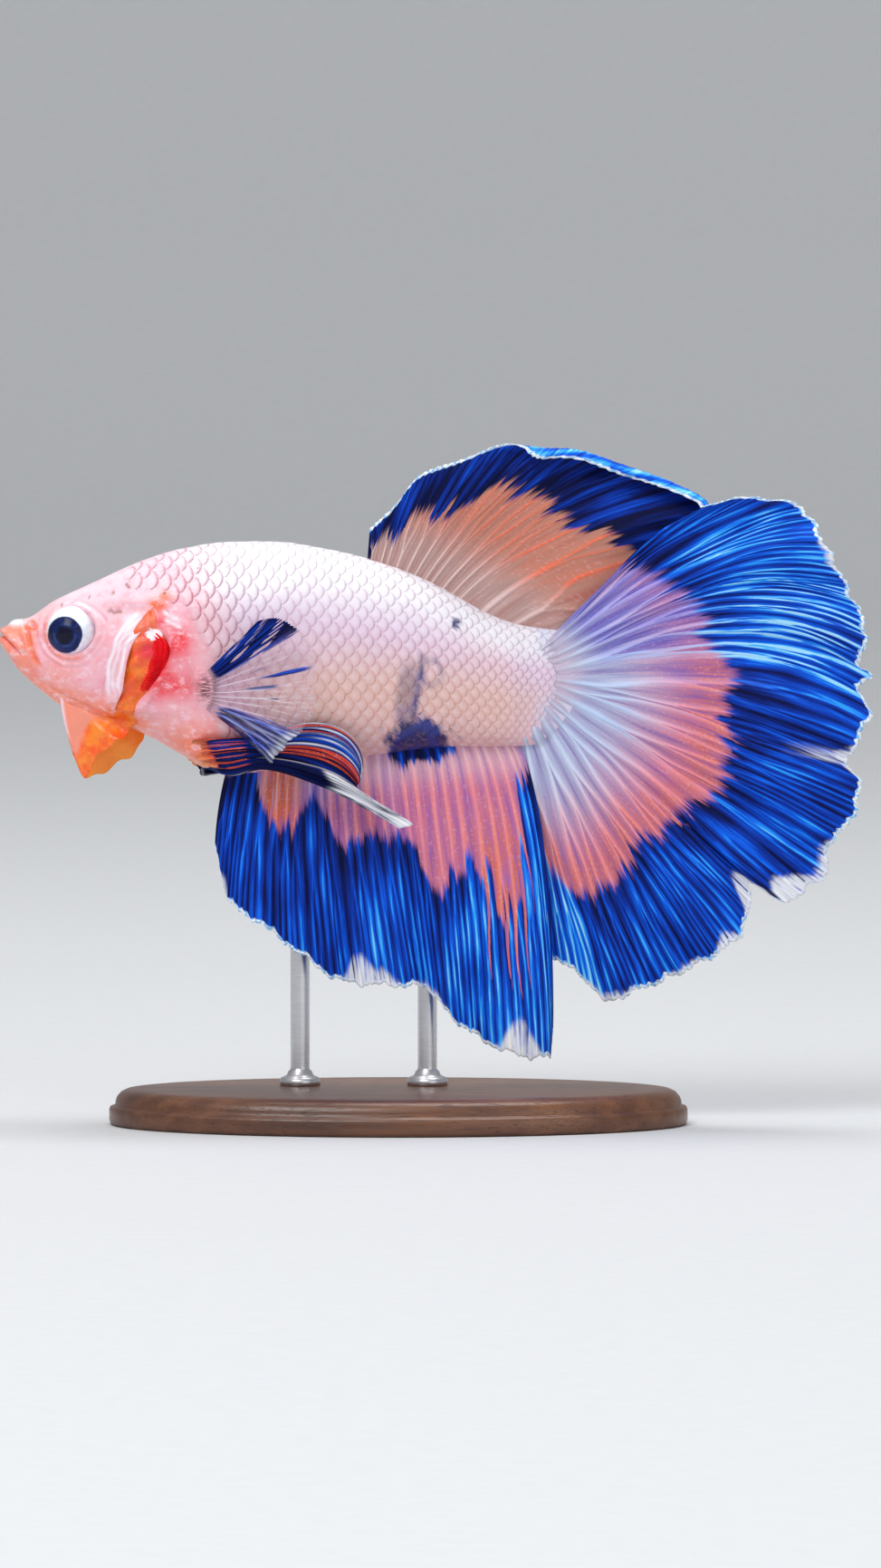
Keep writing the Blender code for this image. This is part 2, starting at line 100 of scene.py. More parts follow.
def bump(value, middle, width):
    """1 at the middle, falling away softly on both sides."""
    return np.exp(-(((value - middle) / width) ** 2))


def bumps(value, rows):
    """Rows of (middle, width, size) added up."""
    return sum(size * bump(value, middle, width) for middle, width, size in rows)


def spots(x, z, rows):
    """Soft spots of the side view: rows of (x, z, width, height, size) added up."""
    return sum(size * bump(x, u, wide) * bump(z, v, tall) for u, v, wide, tall, size in rows)


def to_line(x, z, line):
    """Distance to a line, positive on the left of its direction, and the share along it."""
    best, share = np.full(np.shape(x), 1e9), np.zeros(np.shape(x))
    for i, ((x0, z0), (x1, z1)) in enumerate(zip(line, line[1:])):
        run, rise = x1 - x0, z1 - z0
        part = np.clip(((x - x0) * run + (z - z0) * rise) / (run**2 + rise**2), 0, 1)
        away = np.hypot(x - x0 - run * part, z - z0 - rise * part)
        turn = np.where(run * (z - z0) - rise * (x - x0) >= 0, 1, -1)
        closer = away < np.abs(best)
        best = np.where(closer, turn * away, best)
        share = np.where(closer, (i + part) / (len(line) - 1), share)
    return best, share


print("halfway up a soft step:", float(ease(0, 1, 0.5)))

# %% [markdown]
# The body is a row of rounded cross-sections, each with its own top, bottom, half-width and
# sideways place. Blender could loft curves or subdivide a cage, but a formula gives the exact
# solid that the frame holds, and lets every scale and marking ask where the surface is.

# %% The body's outline
SNOUT_X, TAIL_END_X = -32.95, 15.0
SNOUT_ROUND, TAIL_ROUND = 1.3, 3.0
TAIL_BASE_X, TAIL_SLANT = 7.5, 0.3
ROUNDNESS = 2.1
BACK = smooth([
    (-32.95, 41.3), (-31.7, 41.85), (-31.0, 41.9), (-28.5, 43.4), (-25.5, 44.8), (-21, 46.8),
    (-18, 47.7), (-13.5, 48.3), (-10.5, 48.3), (-6, 47.7), (-2.6, 46.9), (1.5, 45.5),
    (4.5, 44.0), (7.5, 42.35), (10.5, 41.3), (13, 40.9), (15, 40.3),
])
BELLY = smooth([
    (-32.95, 39.6), (-31.5, 37.7), (-30, 36.3), (-28, 34.75), (-25.5, 33.6), (-22, 32.75),
    (-20.5, 32.1), (-18, 30.7), (-16, 29.55), (-13.8, 29.1), (-10.5, 29.4), (-6.5, 29.95),
    (-3, 30.5), (1, 31.05), (4.5, 31.35), (10, 31.4), (15, 31.7),
])
HALF_WIDTH = smooth([
    (-32.95, 1.0), (-31, 1.9), (-28.5, 2.8), (-25, 3.7), (-21, 4.45), (-16, 4.9),
    (-10, 4.95), (-4, 4.5), (2, 3.6), (8, 2.5), (12, 1.6), (15, 1.0),
])
SWAY = smooth([(-33, 0.9), (-20, 0.25), (-8, 0.0), (4, -0.1), (12, -0.55), (16, -0.85)])
SLIM = smooth([(9.5, 1), (12, 0.68), (14.6, 0.28), (15, 0.26)])  # how the end thins into the fin


def closing(x):
    """1 along the body, falling to 0 at the snout's and the tail's round ends."""
    front = np.clip((x - SNOUT_X) / SNOUT_ROUND, 0, 1)
    rear = np.clip((TAIL_END_X - x) / TAIL_ROUND, 0, 1)
    return np.sqrt(1 - (1 - front) ** 2) * np.sqrt(1 - (1 - rear) ** 2)


def mid_height(x):
    return 0.5 * (BACK(x) + BELLY(x))


def tail_slant(x):
    return TAIL_SLANT * ease(TAIL_BASE_X + 1, TAIL_END_X, x)


def flank(x, z):
    """Half the body's width at a point of its side view."""
    middle = mid_height(x)
    half = np.maximum((BACK(x) - middle) * closing(x), 1e-6)
    share = np.clip(np.abs(z - middle) / half, 0, 1)
    return HALF_WIDTH(x) * closing(x) * (1 - share**ROUNDNESS) ** (1 / ROUNDNESS)


def body_point(x, turn):
    """The body's surface. turn is 0 on the back, a quarter on the left side, a half below."""
    middle, power = mid_height(x), 2 / ROUNDNESS
    across, upright = np.sin(TAU * turn), np.cos(TAU * turn)
    up = (BACK(x) - middle) * closing(x) * np.sign(upright) * np.abs(upright) ** power
    out = HALF_WIDTH(x) * closing(x) * np.sign(across) * np.abs(across) ** power * SLIM(x)
    return np.stack([x + tail_slant(x) * up, SWAY(x) - out, middle + up], axis=-1)


low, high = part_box("head")[0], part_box("tail_base")[1]
print("body from", SNOUT_X, "to", TAIL_END_X, "mm; in the frame", low[0] / MM, "to", high[0] / MM)

# %% [markdown]
# Big meshes are quickest as arrays: a grid of points, the quads between them, and for every
# quad corner a place on a flat map. Extra numbers, such as how near a point is to a fin ray,
# ride along as attributes, and the materials read them by name.


# %% Meshes from grids of points
MAP_MARGIN = 0.01  # how much of the flat map stays free at its edges


def grid_quads(rows, columns, wrap=False):
    """Quads of a grid of points, and each corner's place in it as (row, column)."""
    last = columns if wrap else columns - 1
    r, c = (part.ravel() for part in np.indices((rows - 1, last)))
    corners = np.stack([r, c, r, c + 1, r + 1, c + 1, r + 1, c], axis=1).reshape(-1, 4, 2)
    return corners[..., 0] * columns + corners[..., 1] % columns, corners.astype(float)


def sheet_quads(rows, columns):
    """Quads of a thin closed sheet between two grids of points, its front and then its back:
    the front's, the back's and the rim's."""
    front, count = grid_quads(rows, columns)[0], rows * columns
    rim = np.concatenate([
        np.arange(columns), np.arange(1, rows) * columns + columns - 1,
        (rows - 1) * columns + np.arange(columns - 2, -1, -1), np.arange(rows - 2, 0, -1) * columns,
    ])
    rim, around = rim[:, None], np.roll(rim, -1)[:, None]
    sides = np.hstack([rim, rim + count, around + count, around])
    return front, front[:, ::-1] + count, sides


def add(name, data):
    """An object in the scene."""
    made = bpy.data.objects.new(name, data)
    bpy.context.scene.collection.objects.link(made)
    return made


def build(name, points, faces, finish, masks=None, patch=None):
    """A piece from points in millimetres. masks go on its points, patch on its faces' corners."""
    mesh = bpy.data.meshes.new(name)
    faces = faces.tolist() if isinstance(faces, np.ndarray) else faces
    mesh.from_pydata((np.asarray(points) * MM).tolist(), [], faces)
    for key, values in (masks or {}).items():
        layer = mesh.attributes.new(key, "FLOAT", "POINT")
        layer.data.foreach_set("value", np.asarray(values, np.float32).ravel())
    flat_map = mesh.uv_layers.new(name="OFBake")
    flat_map.data.foreach_set("uv", np.asarray(patch, np.float32).ravel())
    mesh.materials.append(finish)
    mesh.shade_smooth()
    piece = add(name, mesh)
    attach(piece, "root")
    print(f"{name}: {len(mesh.vertices)} points, {sum(len(f) - 2 for f in faces)} triangles")
    return piece


def normals_of(grid, wrap=False):
    """Unit normals of a grid of points, from the directions to its neighbours."""
    over = np.gradient(grid, axis=1)
    if wrap:
        over = np.roll(grid, -1, axis=1) - np.roll(grid, 1, axis=1)
    normal = np.cross(np.gradient(grid, axis=0), over)
    return normal / np.maximum(np.linalg.norm(normal, axis=-1, keepdims=True), 1e-9)


print("a grid of 3 by 4 points has", len(grid_quads(3, 4)[0]), "quads")

# %% [markdown]
# Materials here are node trees, written as short formulas. `Finish` keeps one Principled
# shader and hands out values: an attribute, a noise, a mix. Sums and products of these values
# add Math nodes. Colours are given as the 0 to 255 numbers of a colour picker and turned into
# the linear values that Blender works in.


# %% A small language for materials
def tint(red, green, blue):
    """A colour picker's colour as Blender's linear one."""
    share = np.array([red, green, blue]) / 255
    linear = np.where(share <= 0.04045, share / 12.92, ((share + 0.055) / 1.055) ** 2.4)
    return (*map(float, linear), 1.0)


class Value:
    """A number, colour or vector of a material. Arithmetic with it adds nodes."""

    def __init__(self, finish, socket):
        self.finish, self.socket = finish, socket

    def __add__(self, other):
        return self.finish.math("ADD", self, other)

    def __sub__(self, other):
        return self.finish.math("SUBTRACT", self, other)

    def __rsub__(self, other):
        return self.finish.math("SUBTRACT", other, self)

    def __mul__(self, other):
        return self.finish.math("MULTIPLY", self, other)

    def clipped(self):
        return self.finish.math("ADD", self, 0.0, clamp=True)

    def step(self, low, high, start=0.0, end=1.0):
        """Low to high becomes start to end, softly, and stays there outside."""
        given = (self, low, high, start, end)
        return self.finish.node("ShaderNodeMapRange", given, interpolation_type="SMOOTHSTEP")

    def stretched(self, *factors):
        given = (self, factors)
        return self.finish.node("ShaderNodeVectorMath", given, operation="MULTIPLY")


class Finish:
    """A material with one Principled shader. The named values are set on its own sockets."""

    def __init__(self, name, **values):
        self.material = bpy.data.materials.new(name)
        self.material.use_nodes = True
        self.tree = self.material.node_tree
        self.shader = self.tree.nodes["Principled BSDF"]
        for key, value in values.items():
            self.set(key.replace("_", " ").title().replace("Ior", "IOR"), value)

    def put(self, socket, value):
        """Links a socket, or sets a plain number or colour."""
        if isinstance(value, Value):
            self.tree.links.new(value.socket, socket)
        else:
            socket.default_value = value

    def set(self, key, value):
        self.put(self.shader.inputs[key], value)

    def node(self, kind, given=(), output=0, **settings):
        """A node of a kind, with its first inputs given, and one of its outputs."""
        made = self.tree.nodes.new(kind)
        for key, value in settings.items():
            setattr(made, key, value)
        for key, value in given.items() if isinstance(given, dict) else enumerate(given):
            self.put(made.inputs[key], value)
        return Value(self, made.outputs[output])

    def masks(self, names):
        """The mesh's attributes of these names."""
        kind = "ShaderNodeAttribute"
        return [self.node(kind, (), "Fac", attribute_name=name) for name in names.split()]

    def math(self, kind, first, second, clamp=False):
        return self.node("ShaderNodeMath", (first, second), operation=kind, use_clamp=clamp)

    def mix(self, share, first, second):
        given = {"Factor": share, 6: first, 7: second}
        return self.node("ShaderNodeMix", given, 2, data_type="RGBA")

    def layers(self, colour, *coats):
        """Colours laid over one another: each coat is (how much it covers, colour)."""
        for share, over in coats:
            colour = self.mix(share, colour, over)
        return colour

    def ramp(self, value, stops):
        made = self.node("ShaderNodeValToRGB", (value,), "Color")
        points = made.socket.node.color_ramp.elements
        points.remove(points[1])
        points[0].position, points[0].color = stops[0]
        for place, colour in stops[1:]:
            points.new(place).color = colour
        return made

    def place(self):
        """Where the point is, in millimetres."""
        where = self.node("ShaderNodeTexCoord", (), "Object")
        return self.node("ShaderNodeVectorMath", {0: where, "Scale": 1 / MM}, operation="SCALE")

    def noise(self, vector, size, detail=2.0, rough=0.5):
        """Cloudy noise from 0 to 1, with blobs of about the given size."""
        given = {"Vector": vector, "Scale": 1 / size, "Detail": detail, "Roughness": rough}
        return self.node("ShaderNodeTexNoise", given, "Fac")

    def relief(self, height, depth):
        """Fine relief: height from 0 to 1 becomes depth millimetres."""
        given = {"Strength": 1.0, "Distance": depth * MM, "Height": height}
        self.set("Normal", self.node("ShaderNodeBump", given))


print("white is", tint(255, 255, 255))

# %% [markdown]
# A fin is a fan of bony rays joined by a skin as thin as paper. Each ray forks again and again
# on its way out, and the colours follow the rays. The fan could be a plane with a picture of
# rays on it, but then its edge and its relief would be flat, so the rays are real ridges in a
# thin closed sheet.


# %% Rays that fork
def ray_field(columns, along, count, forks, seed):
    """For a grid of rows (along) by columns: distance to the nearest ray, 1 on a ray falling to 0
    midway between two, and the nearest ray's tone."""
    dice = np.random.default_rng(seed)
    branches = 2 ** len(forks)
    start = (np.arange(count) + 0.5 + dice.uniform(-0.2, 0.2, count)) / count
    lines = np.repeat(start[None, :], len(along), axis=0)
    for level, fork in enumerate(forks):
        width = 0.5 / count / 2 ** (level + 1) * dice.uniform(0.75, 1.25, lines.shape[1])
        shift = fork + dice.uniform(-0.1, 0.1, lines.shape[1])
        spread = width * ease(shift, shift + 0.25, along[:, None])
        lines = np.stack([lines - spread, lines + spread], axis=2).reshape(len(along), -1)
    tone = dice.uniform(-1, 1, lines.shape[1])
    family = np.repeat(dice.uniform(-1, 1, count), branches)
    across = np.linspace(0, 1, columns)
    gap, rib, hue = [], [], []
    for row in lines:
        order = np.argsort(row)
        row = row[order]
        right = np.clip(np.searchsorted(row, across), 1, len(row) - 1)
        nearest = np.where(across - row[right - 1] < row[right] - across, right - 1, right)
        gap.append(np.abs(across - row[nearest]))
        between = np.maximum(row[right] - row[right - 1], 0.35 / count / branches)
        rib.append(1 - np.clip(2 * gap[-1] / between, 0, 1))
        hue.append((0.65 * tone + 0.35 * family)[order][nearest])
    return np.array(gap), np.array(rib), np.array(hue)


def fin_sheet(name, place, size, rays, thick, finish, masks, scallop=0.0, cover=None):
    """A fin as a thin closed sheet with raised rays on both of its faces.

    place(along, across) is its middle; size is (rows, columns); rays is (count, forks, seed);
    thick is (membrane, ray at the root, ray at the tip, ray's radius). masks gets the grid's
    along, across, nearness to a ray, ray tone, distance from the root and points, and returns
    what the finish reads. scallop is how far the free edge falls back between two rays.
    cover(x, z, rib) is the least half-thickness, where a fin's root must cover the body's end.
    """
    rows, columns = size
    membrane, root_ray, tip_ray, ray_radius = thick
    along = np.linspace(0, 1, rows)
    gap, rib, hue = ray_field(columns, along, *rays)
    a, c = np.meshgrid(along, np.linspace(0, 1, columns), indexing="ij")
    middle = np.stack(np.broadcast_arrays(*place(a, c)), axis=-1)
    outwards = middle[-1] - middle[-3]
    outwards = outwards / np.linalg.norm(outwards, axis=-1, keepdims=True)
    middle = middle - (scallop * ease(0.88, 1, a) * (1 - rib[-1:]) ** 1.5)[..., None] * outwards
    gap = gap * np.linalg.norm(np.gradient(middle, axis=1), axis=-1) * (columns - 1)
    ray = np.exp(-((gap / (ray_radius * (1 - 0.35 * a))) ** 2))
    half = 0.5 * (membrane + (root_ray + (tip_ray - root_ray) * a) * ray)
    half = half * (1 - 0.6 * ease(0.93, 1.0, a))
    if cover:
        half = np.maximum(half, cover(middle[..., 0], middle[..., 2], rib))
    reach = np.cumsum(np.linalg.norm(np.diff(middle, axis=0, prepend=middle[:1]), axis=-1), axis=0)
    width = np.linalg.norm(np.diff(middle[-1], axis=0), axis=-1).sum()
    values = {"ray": ray, "rib": rib, "reach": reach, "tone": hue, "across": c * width}
    values |= masks(a, c, rib, hue, reach, middle)
    for key, value in values.items():
        values[key] = np.tile(np.ravel(np.broadcast_to(value, a.shape)), 2)
    depth = normals_of(middle) * half[..., None]
    front, back, sides = sheet_quads(rows, columns)
    unit = grid_quads(rows, columns)[1] / np.array([rows - 1, columns - 1])
    front_map = unit[..., ::-1] * np.array([0.98, 0.47]) + MAP_MARGIN
    back_map = front_map[:, ::-1] + np.array([0, 0.5])
    side_map = np.zeros((len(sides), 4, 2)) + 1 - MAP_MARGIN / 2
    points = np.concatenate([(middle - depth).reshape(-1, 3), (middle + depth).reshape(-1, 3)])
    faces = np.concatenate([front, back, sides])
    patch = np.concatenate([front_map, back_map, side_map])
    return build(name, points, faces, finish, values, patch)


def bowed(root, tip, along, bow=0.0):
    """Points along rays from root to tip, bent sideways by bow at the middle."""
    arch = 4 * along * (1 - along) * bow
    return root[0] + (tip[0] - root[0]) * along + arch, root[1] + (tip[1] - root[1]) * along


def polar(hub, degrees, reach):
    angle = np.radians(degrees)
    return hub[0] + reach * np.cos(angle), hub[1] + reach * np.sin(angle)


def pleats(across, along, folds, sharp=1.4):
    """Sideways folds that grow from the root outwards: rows of (count, size, phase)."""
    waves = sum(size * np.sin(TAU * (count * across + phase)) for count, size, phase in folds)
    return waves * along**sharp


print("a field of rays:", ray_field(9, np.linspace(0, 1, 3), 3, (0.3, 0.6), 1)[0].shape)

# %% [markdown]
# The tail is a half circle of rays that leave the rounded end of the body. Seen from behind it
# isn't flat: it is pleated like a fan, its top edge swings to the left and its bottom edge to
# the right. The upper rays rise and then droop under their own length. A few pleats are sharp,
# where one lobe of the tail lies over the next.

# %% The tail fin's shape
CAUDAL_HUB = (10.9, 37.1)
CAUDAL_TOP, CAUDAL_BOTTOM = 44.5, -86.0
CAUDAL_ROOT_ANGLE = smooth([(0, 78), (0.2, 46), (0.35, 15), (0.46, -10), (0.8, -72), (1, -104)])
CAUDAL_DROOP = smooth([
    (0, 1.2), (0.1, 2.0), (0.2, 3.0), (0.29, 3.9), (0.35, 3.2), (0.45, 1.1), (0.55, 0.3), (1, 0),
])
CAUDAL_EDGE = smooth([
    (-86, 23.2), (-79.5, 25.8), (-76.6, 28.0), (-72, 27.7), (-61, 27.7), (-52, 27.8),
    (-46.5, 26.6), (-43.2, 25.2), (-41.6, 28.2), (-38, 28.9), (-33.4, 29.6), (-29.1, 28.5),
    (-23.8, 29.2), (-17.6, 28.8), (-15.6, 27.4), (-10.6, 27.7), (-6.5, 28.4), (-1.7, 27.4),
    (0.3, 28.2), (1.9, 27.4), (8, 28.1), (15, 27.4), (24, 26.8), (31.2, 26.7),
    (35, 25.6), (39, 23.7), (42.5, 21.9), (44.5, 20.3),
])
CAUDAL_LAPS = [(2, -0.35), (-16.4, 0.55), (-42.6, -0.7)]  # where a lobe overlaps the next, how deep
CAUDAL_SWING = 4.6  # how far the lower edge stands to the right of the upper one
CAUDAL_PLEATS = [(3.6, 0.75, 0.05), (8.3, 0.3, 0.3), (14.6, 0.13, 0.6)]


def fan_angle(across):
    return CAUDAL_TOP + (CAUDAL_BOTTOM - CAUDAL_TOP) * across


def caudal(along, across):
    angle, root_angle = fan_angle(across), CAUDAL_ROOT_ANGLE(across)
    root = polar(CAUDAL_HUB, root_angle, 2.2 + 2.1 * ease(-40, -100, root_angle))
    uneven = 0.16 * np.cos(TAU * 23 * across + 1) + 0.08 * np.cos(TAU * 41 * across)
    tip = polar(CAUDAL_HUB, angle, CAUDAL_EDGE(angle) + uneven * ease(0.85, 1, along))
    x, z = bowed(root, tip, along)
    z = z + CAUDAL_DROOP(across) * 4.3 * along**1.35 * (1 - along)
    waver = 0.22 * np.sin(TAU * (5 * across + 1.1 * along))
    waver = waver + 0.12 * np.sin(TAU * (13 * across - 1.7 * along))
    waver = 2.5 * waver * along * (1 - along)
    x, z = x + waver * np.sin(np.radians(angle)), z - waver * np.cos(np.radians(angle))
    y = CAUDAL_SWING * (across - 0.5) * along**1.2 + pleats(across, along, CAUDAL_PLEATS)
    for lap, size in CAUDAL_LAPS:
        y = y + size * along**2 * np.tanh((angle - lap) / 0.9) * bump(angle, lap, 9)
    frill = 0.12 * np.sin(TAU * 31 * across + 2) * ease(0.8, 1, along)
    return x, SWAY(x) + y + frill, z


print("tail edge at its widest:", float(CAUDAL_EDGE(-33)), "mm from the hub")

# %% [markdown]
# The dorsal fin stands on the back. Its front rays are short and steep, its rear ones long and
# low, and its upper edge rolls over towards the left, so that the pale back of the rim shows.
# The anal fin below is a long curtain of nearly upright rays.

# %% The dorsal and anal fins' shapes
ROOT_DEPTH = 0.5  # how far a fin starts inside the body
CURL_RADIUS = 1.15
DORSAL_RAYS = smooth([  # (place, root x, tip x, tip z)
    (0, -2.6, -2.35, 49.4), (0.1, -1.8, -0.2, 51.4), (0.2, -0.9, 1.9, 53.9),
    (0.3, 0.1, 4.9, 55.0), (0.42, 1.2, 9.0, 56.0), (0.54, 2.3, 13.5, 56.1),
    (0.66, 3.4, 18.0, 54.9), (0.78, 4.7, 22.9, 53.1), (0.86, 6.1, 25.6, 51.2),
    (0.93, 8.4, 25.8, 47.6), (1, 12.2, 23.5, 42.6),
])
DORSAL_PLEATS = [(1.7, 0.55, 0.1), (6.2, 0.16, 0.4), (11, 0.07, 0.1)]
ANAL_RAYS = smooth([  # (place, root x, tip x, tip z)
    (0, -14.2, -15.2, 22.9), (0.08, -12.7, -14.1, 18.5), (0.18, -10.5, -11.3, 16.5),
    (0.28, -8.2, -7.9, 13.9), (0.38, -6.0, -4.5, 11.7), (0.48, -3.4, -1.1, 11.5),
    (0.58, -0.8, 1.9, 11.4), (0.68, 1.9, 4.5, 8.7), (0.78, 4.5, 7.5, 6.7),
    (0.88, 6.9, 10.9, 5.6), (0.95, 8.5, 12.5, 5.6), (1, 9.6, 12.8, 7.6),
])
ANAL_PLEATS = [(3.1, 0.7, 0.15), (7.7, 0.26, 0.5), (13.4, 0.12, 0.2)]


def dorsal_roll(along, across):
    """How far a point is along its ray, where the roll starts, and the ray's length."""
    root_x, tip_x, tip_z = DORSAL_RAYS(across)
    length = np.hypot(tip_x - root_x, tip_z - BACK(root_x) + ROOT_DEPTH)
    rolled = ease(0.3, 0.55, across) * (1 - 0.75 * ease(0.8, 1.0, across))
    straight = length - CURL_RADIUS * rolled
    return along * (straight + 2.9 * CURL_RADIUS * rolled), straight, length


def dorsal(along, across):
    root_x, tip_x, tip_z = DORSAL_RAYS(across)
    run, straight, length = dorsal_roll(along, across)
    radius = CURL_RADIUS * (0.85 + 0.07 * np.sin(TAU * 5 * across + 1))
    angle = np.clip((run - straight) / radius, 0, None)
    share = (np.minimum(run, straight) + radius * np.sin(angle)) / length
    root, bow = (root_x, BACK(root_x) - ROOT_DEPTH), -0.35 * ease(0, 0.5, across)
    x, z = bowed(root, (tip_x, tip_z), share, bow)
    z = z + 5.5 * share**0.8 * (1 - share) * ease(0.35, 0.8, across) * (1 - ease(0.9, 1.0, across))
    wave = pleats(across, np.clip(share, 0, 1.2), DORSAL_PLEATS)
    lean = 1.3 * share * ease(0.5, 1.0, across)
    frill = 0.05 * np.sin(TAU * 24 * across) * ease(0.85, 1, along)
    return x, SWAY(root_x) + wave + lean - radius * (1 - np.cos(angle)) + frill, z


def anal(along, across):
    root_x, tip_x, tip_z = ANAL_RAYS(across)
    uneven = 0.1 * np.cos(TAU * 26 * across) + 0.16 * np.cos(TAU * 11 * across + 2)
    tip = (tip_x, tip_z - uneven * ease(0.8, 1, along))
    x, z = bowed((root_x, BELLY(root_x) + ROOT_DEPTH), tip, along, -0.2)
    x = x + 4.3 * along**0.6 * (1 - along) * ease(0.5, 1.0, across)
    lean = -1.3 * along * ease(0.5, 1.0, across)
    return x, SWAY(root_x) + pleats(across, along, ANAL_PLEATS, 1.2) + lean, z


print("dorsal fin from", float(DORSAL_RAYS(0)[0]), "to", float(DORSAL_RAYS(1)[0]), "mm")

# %% [markdown]
# The paired fins are small and clearer. The pectoral fin is a paddle that stands a little off
# the flank; the pelvic fin is folded like a closed fan and ends in a long pale blade.

# %% The paired fins' shapes
PECTORAL_RAYS = smooth([  # (place, root x and z, tip x and z)
    (0, -15.8, 37.7, -11.4, 42.1), (0.15, -15.7, 37.3, -10.1, 42.3),
    (0.28, -15.6, 36.9, -8.8, 41.8), (0.4, -15.6, 36.5, -7.5, 40.3),
    (0.52, -15.6, 36.2, -6.7, 38.0), (0.64, -15.7, 35.8, -6.7, 35.8),
    (0.78, -15.8, 35.4, -7.4, 33.6), (0.9, -15.9, 35.0, -9.2, 31.7),
    (1, -16.0, 34.7, -10.5, 30.1),
])
PELVIC_RAYS = smooth([  # (place, root x and z, waist x and z, tip x and z)
    (0, -18.0, 31.9, -10.3, 32.1, -3.1, 29.1), (0.2, -17.8, 31.4, -10.2, 31.8, -3.1, 28.9),
    (0.42, -17.5, 30.8, -10.1, 31.4, -3.2, 28.6), (0.62, -17.0, 30.3, -10.1, 30.9, -3.4, 28.2),
    (0.7, -16.7, 30.2, -10.1, 30.6, -3.1, 27.9), (0.82, -16.3, 30.0, -10.1, 30.2, -0.9, 26.4),
    (0.94, -15.9, 29.85, -10.1, 29.8, 1.2, 25.1), (1, -15.7, 29.75, -10.1, 29.6, 0.1, 24.8),
])
PELVIC_SWELL = smooth([(0, 2.35), (0.15, 1.95), (0.35, 1.2), (0.55, 0.35), (0.68, 0.0), (1, 0.0)])
PELVIC_WAIST = 0.42  # where along its rays the fin is gathered together


def pectoral(side, spread):
    """A pectoral fin. side is -1 for left; spread is how far its tip stands off the flank."""

    def place(along, across):
        root_x, root_z, tip_x, tip_z = PECTORAL_RAYS(across)
        notch = 0.12 * np.cos(TAU * 12 * across) * ease(0.8, 1, along) * ease(0.2, 0.4, across)
        x, z = bowed((root_x, root_z), (tip_x + notch, tip_z), along)
        z = z + 1.6 * along * (1 - along) * ease(0.7, 1.0, across)
        out = flank(x, z) - 0.15 + 0.9 * ease(0, 0.2, along) + spread * along**1.3
        return x, SWAY(x) + side * (out + 0.25 * along * np.sin(TAU * 2.5 * across)), z

    return place


def pelvic(side, droop, flare):
    """A pelvic fin trailing beside the belly. droop turns it down, in degrees; flare spreads its
    front forwards, in millimetres."""

    def through_waist(along, root, waist, tip):
        weight = along * (1 - along) / (PELVIC_WAIST * (1 - PELVIC_WAIST))
        return root + (tip - root) * along + weight * (waist - root - (tip - root) * PELVIC_WAIST)

    def place(along, across):
        root_x, root_z, waist_x, waist_z, tip_x, tip_z = PELVIC_RAYS(across)
        past = np.clip((along - PELVIC_WAIST) / (1 - PELVIC_WAIST), 0, 1)
        swell = PELVIC_SWELL(across) * np.sqrt(4 * past * (1 - past))
        sag = 0.95 * ease(0.5, 0.95, across) * bump(along, 0.17, 0.13)
        spread = flare * ease(0.3, 0.95, across) * bump(along, 0.2, 0.16)
        x = through_waist(along, root_x, waist_x, tip_x) + 0.43 * swell - spread
        z = through_waist(along, root_z, waist_z, tip_z) + 0.9 * swell - sag - 0.13 * spread
        turn = math.radians(droop) * ease(0, 0.5, along)
        x, z = (
            root_x + (x - root_x) * np.cos(turn) + (z - root_z) * np.sin(turn),
            root_z - (x - root_x) * np.sin(turn) + (z - root_z) * np.cos(turn),
        )
        out = 1.9 + 3.4 * ease(0, 0.45, along) - 0.9 * along
        belly = flank(x, np.maximum(z, BELLY(x) + 0.05)) * (z > BELLY(x))
        risen = ease(0.0, 0.11 + 0.05 * np.sin(7 * across), along)
        clear = np.maximum(out, belly + 0.7) * risen + np.maximum(belly - 0.45, 0.15) * (1 - risen)
        return x, SWAY(x) + side * (clear + 0.45 * along * np.sin(TAU * 3 * across)), z

    return place


print("left pectoral's tip stands at y =", float(pectoral(-1, 2.6)(1.0, 0.5)[1]), "mm")

# %% [markdown]
# The fins' colour has three zones: pale and rosy near the body, royal blue outside it, and a
# thin white rim. The border between them is ragged because each ray changes colour at its own
# distance. So the zone is a number on the mesh, shifted ray by ray, and the material only
# turns numbers into colours, with dark lines between the rays and fine streaks along them.


# %% The fins' finish
BLUES = [
    (0.0, tint(2, 10, 58)), (0.2, tint(4, 30, 112)), (0.42, tint(6, 58, 174)),
    (0.62, tint(10, 98, 236)), (0.8, tint(54, 176, 252)), (1.0, tint(164, 228, 255)),
]
LILACS, WARMS = (tint(86, 84, 190), tint(176, 170, 244)), (tint(206, 92, 66), tint(240, 132, 92))
RIM_TINTS = (tint(140, 196, 246), tint(246, 252, 255))
PALES = (tint(220, 224, 238), tint(254, 254, 255))
# SHEEN_TINT is the sky-blue of a painted highlight.
FLECK_TINT, SHEEN_TINT, BASE_TINT = tint(250, 226, 236), tint(164, 206, 255), tint(224, 206, 226)


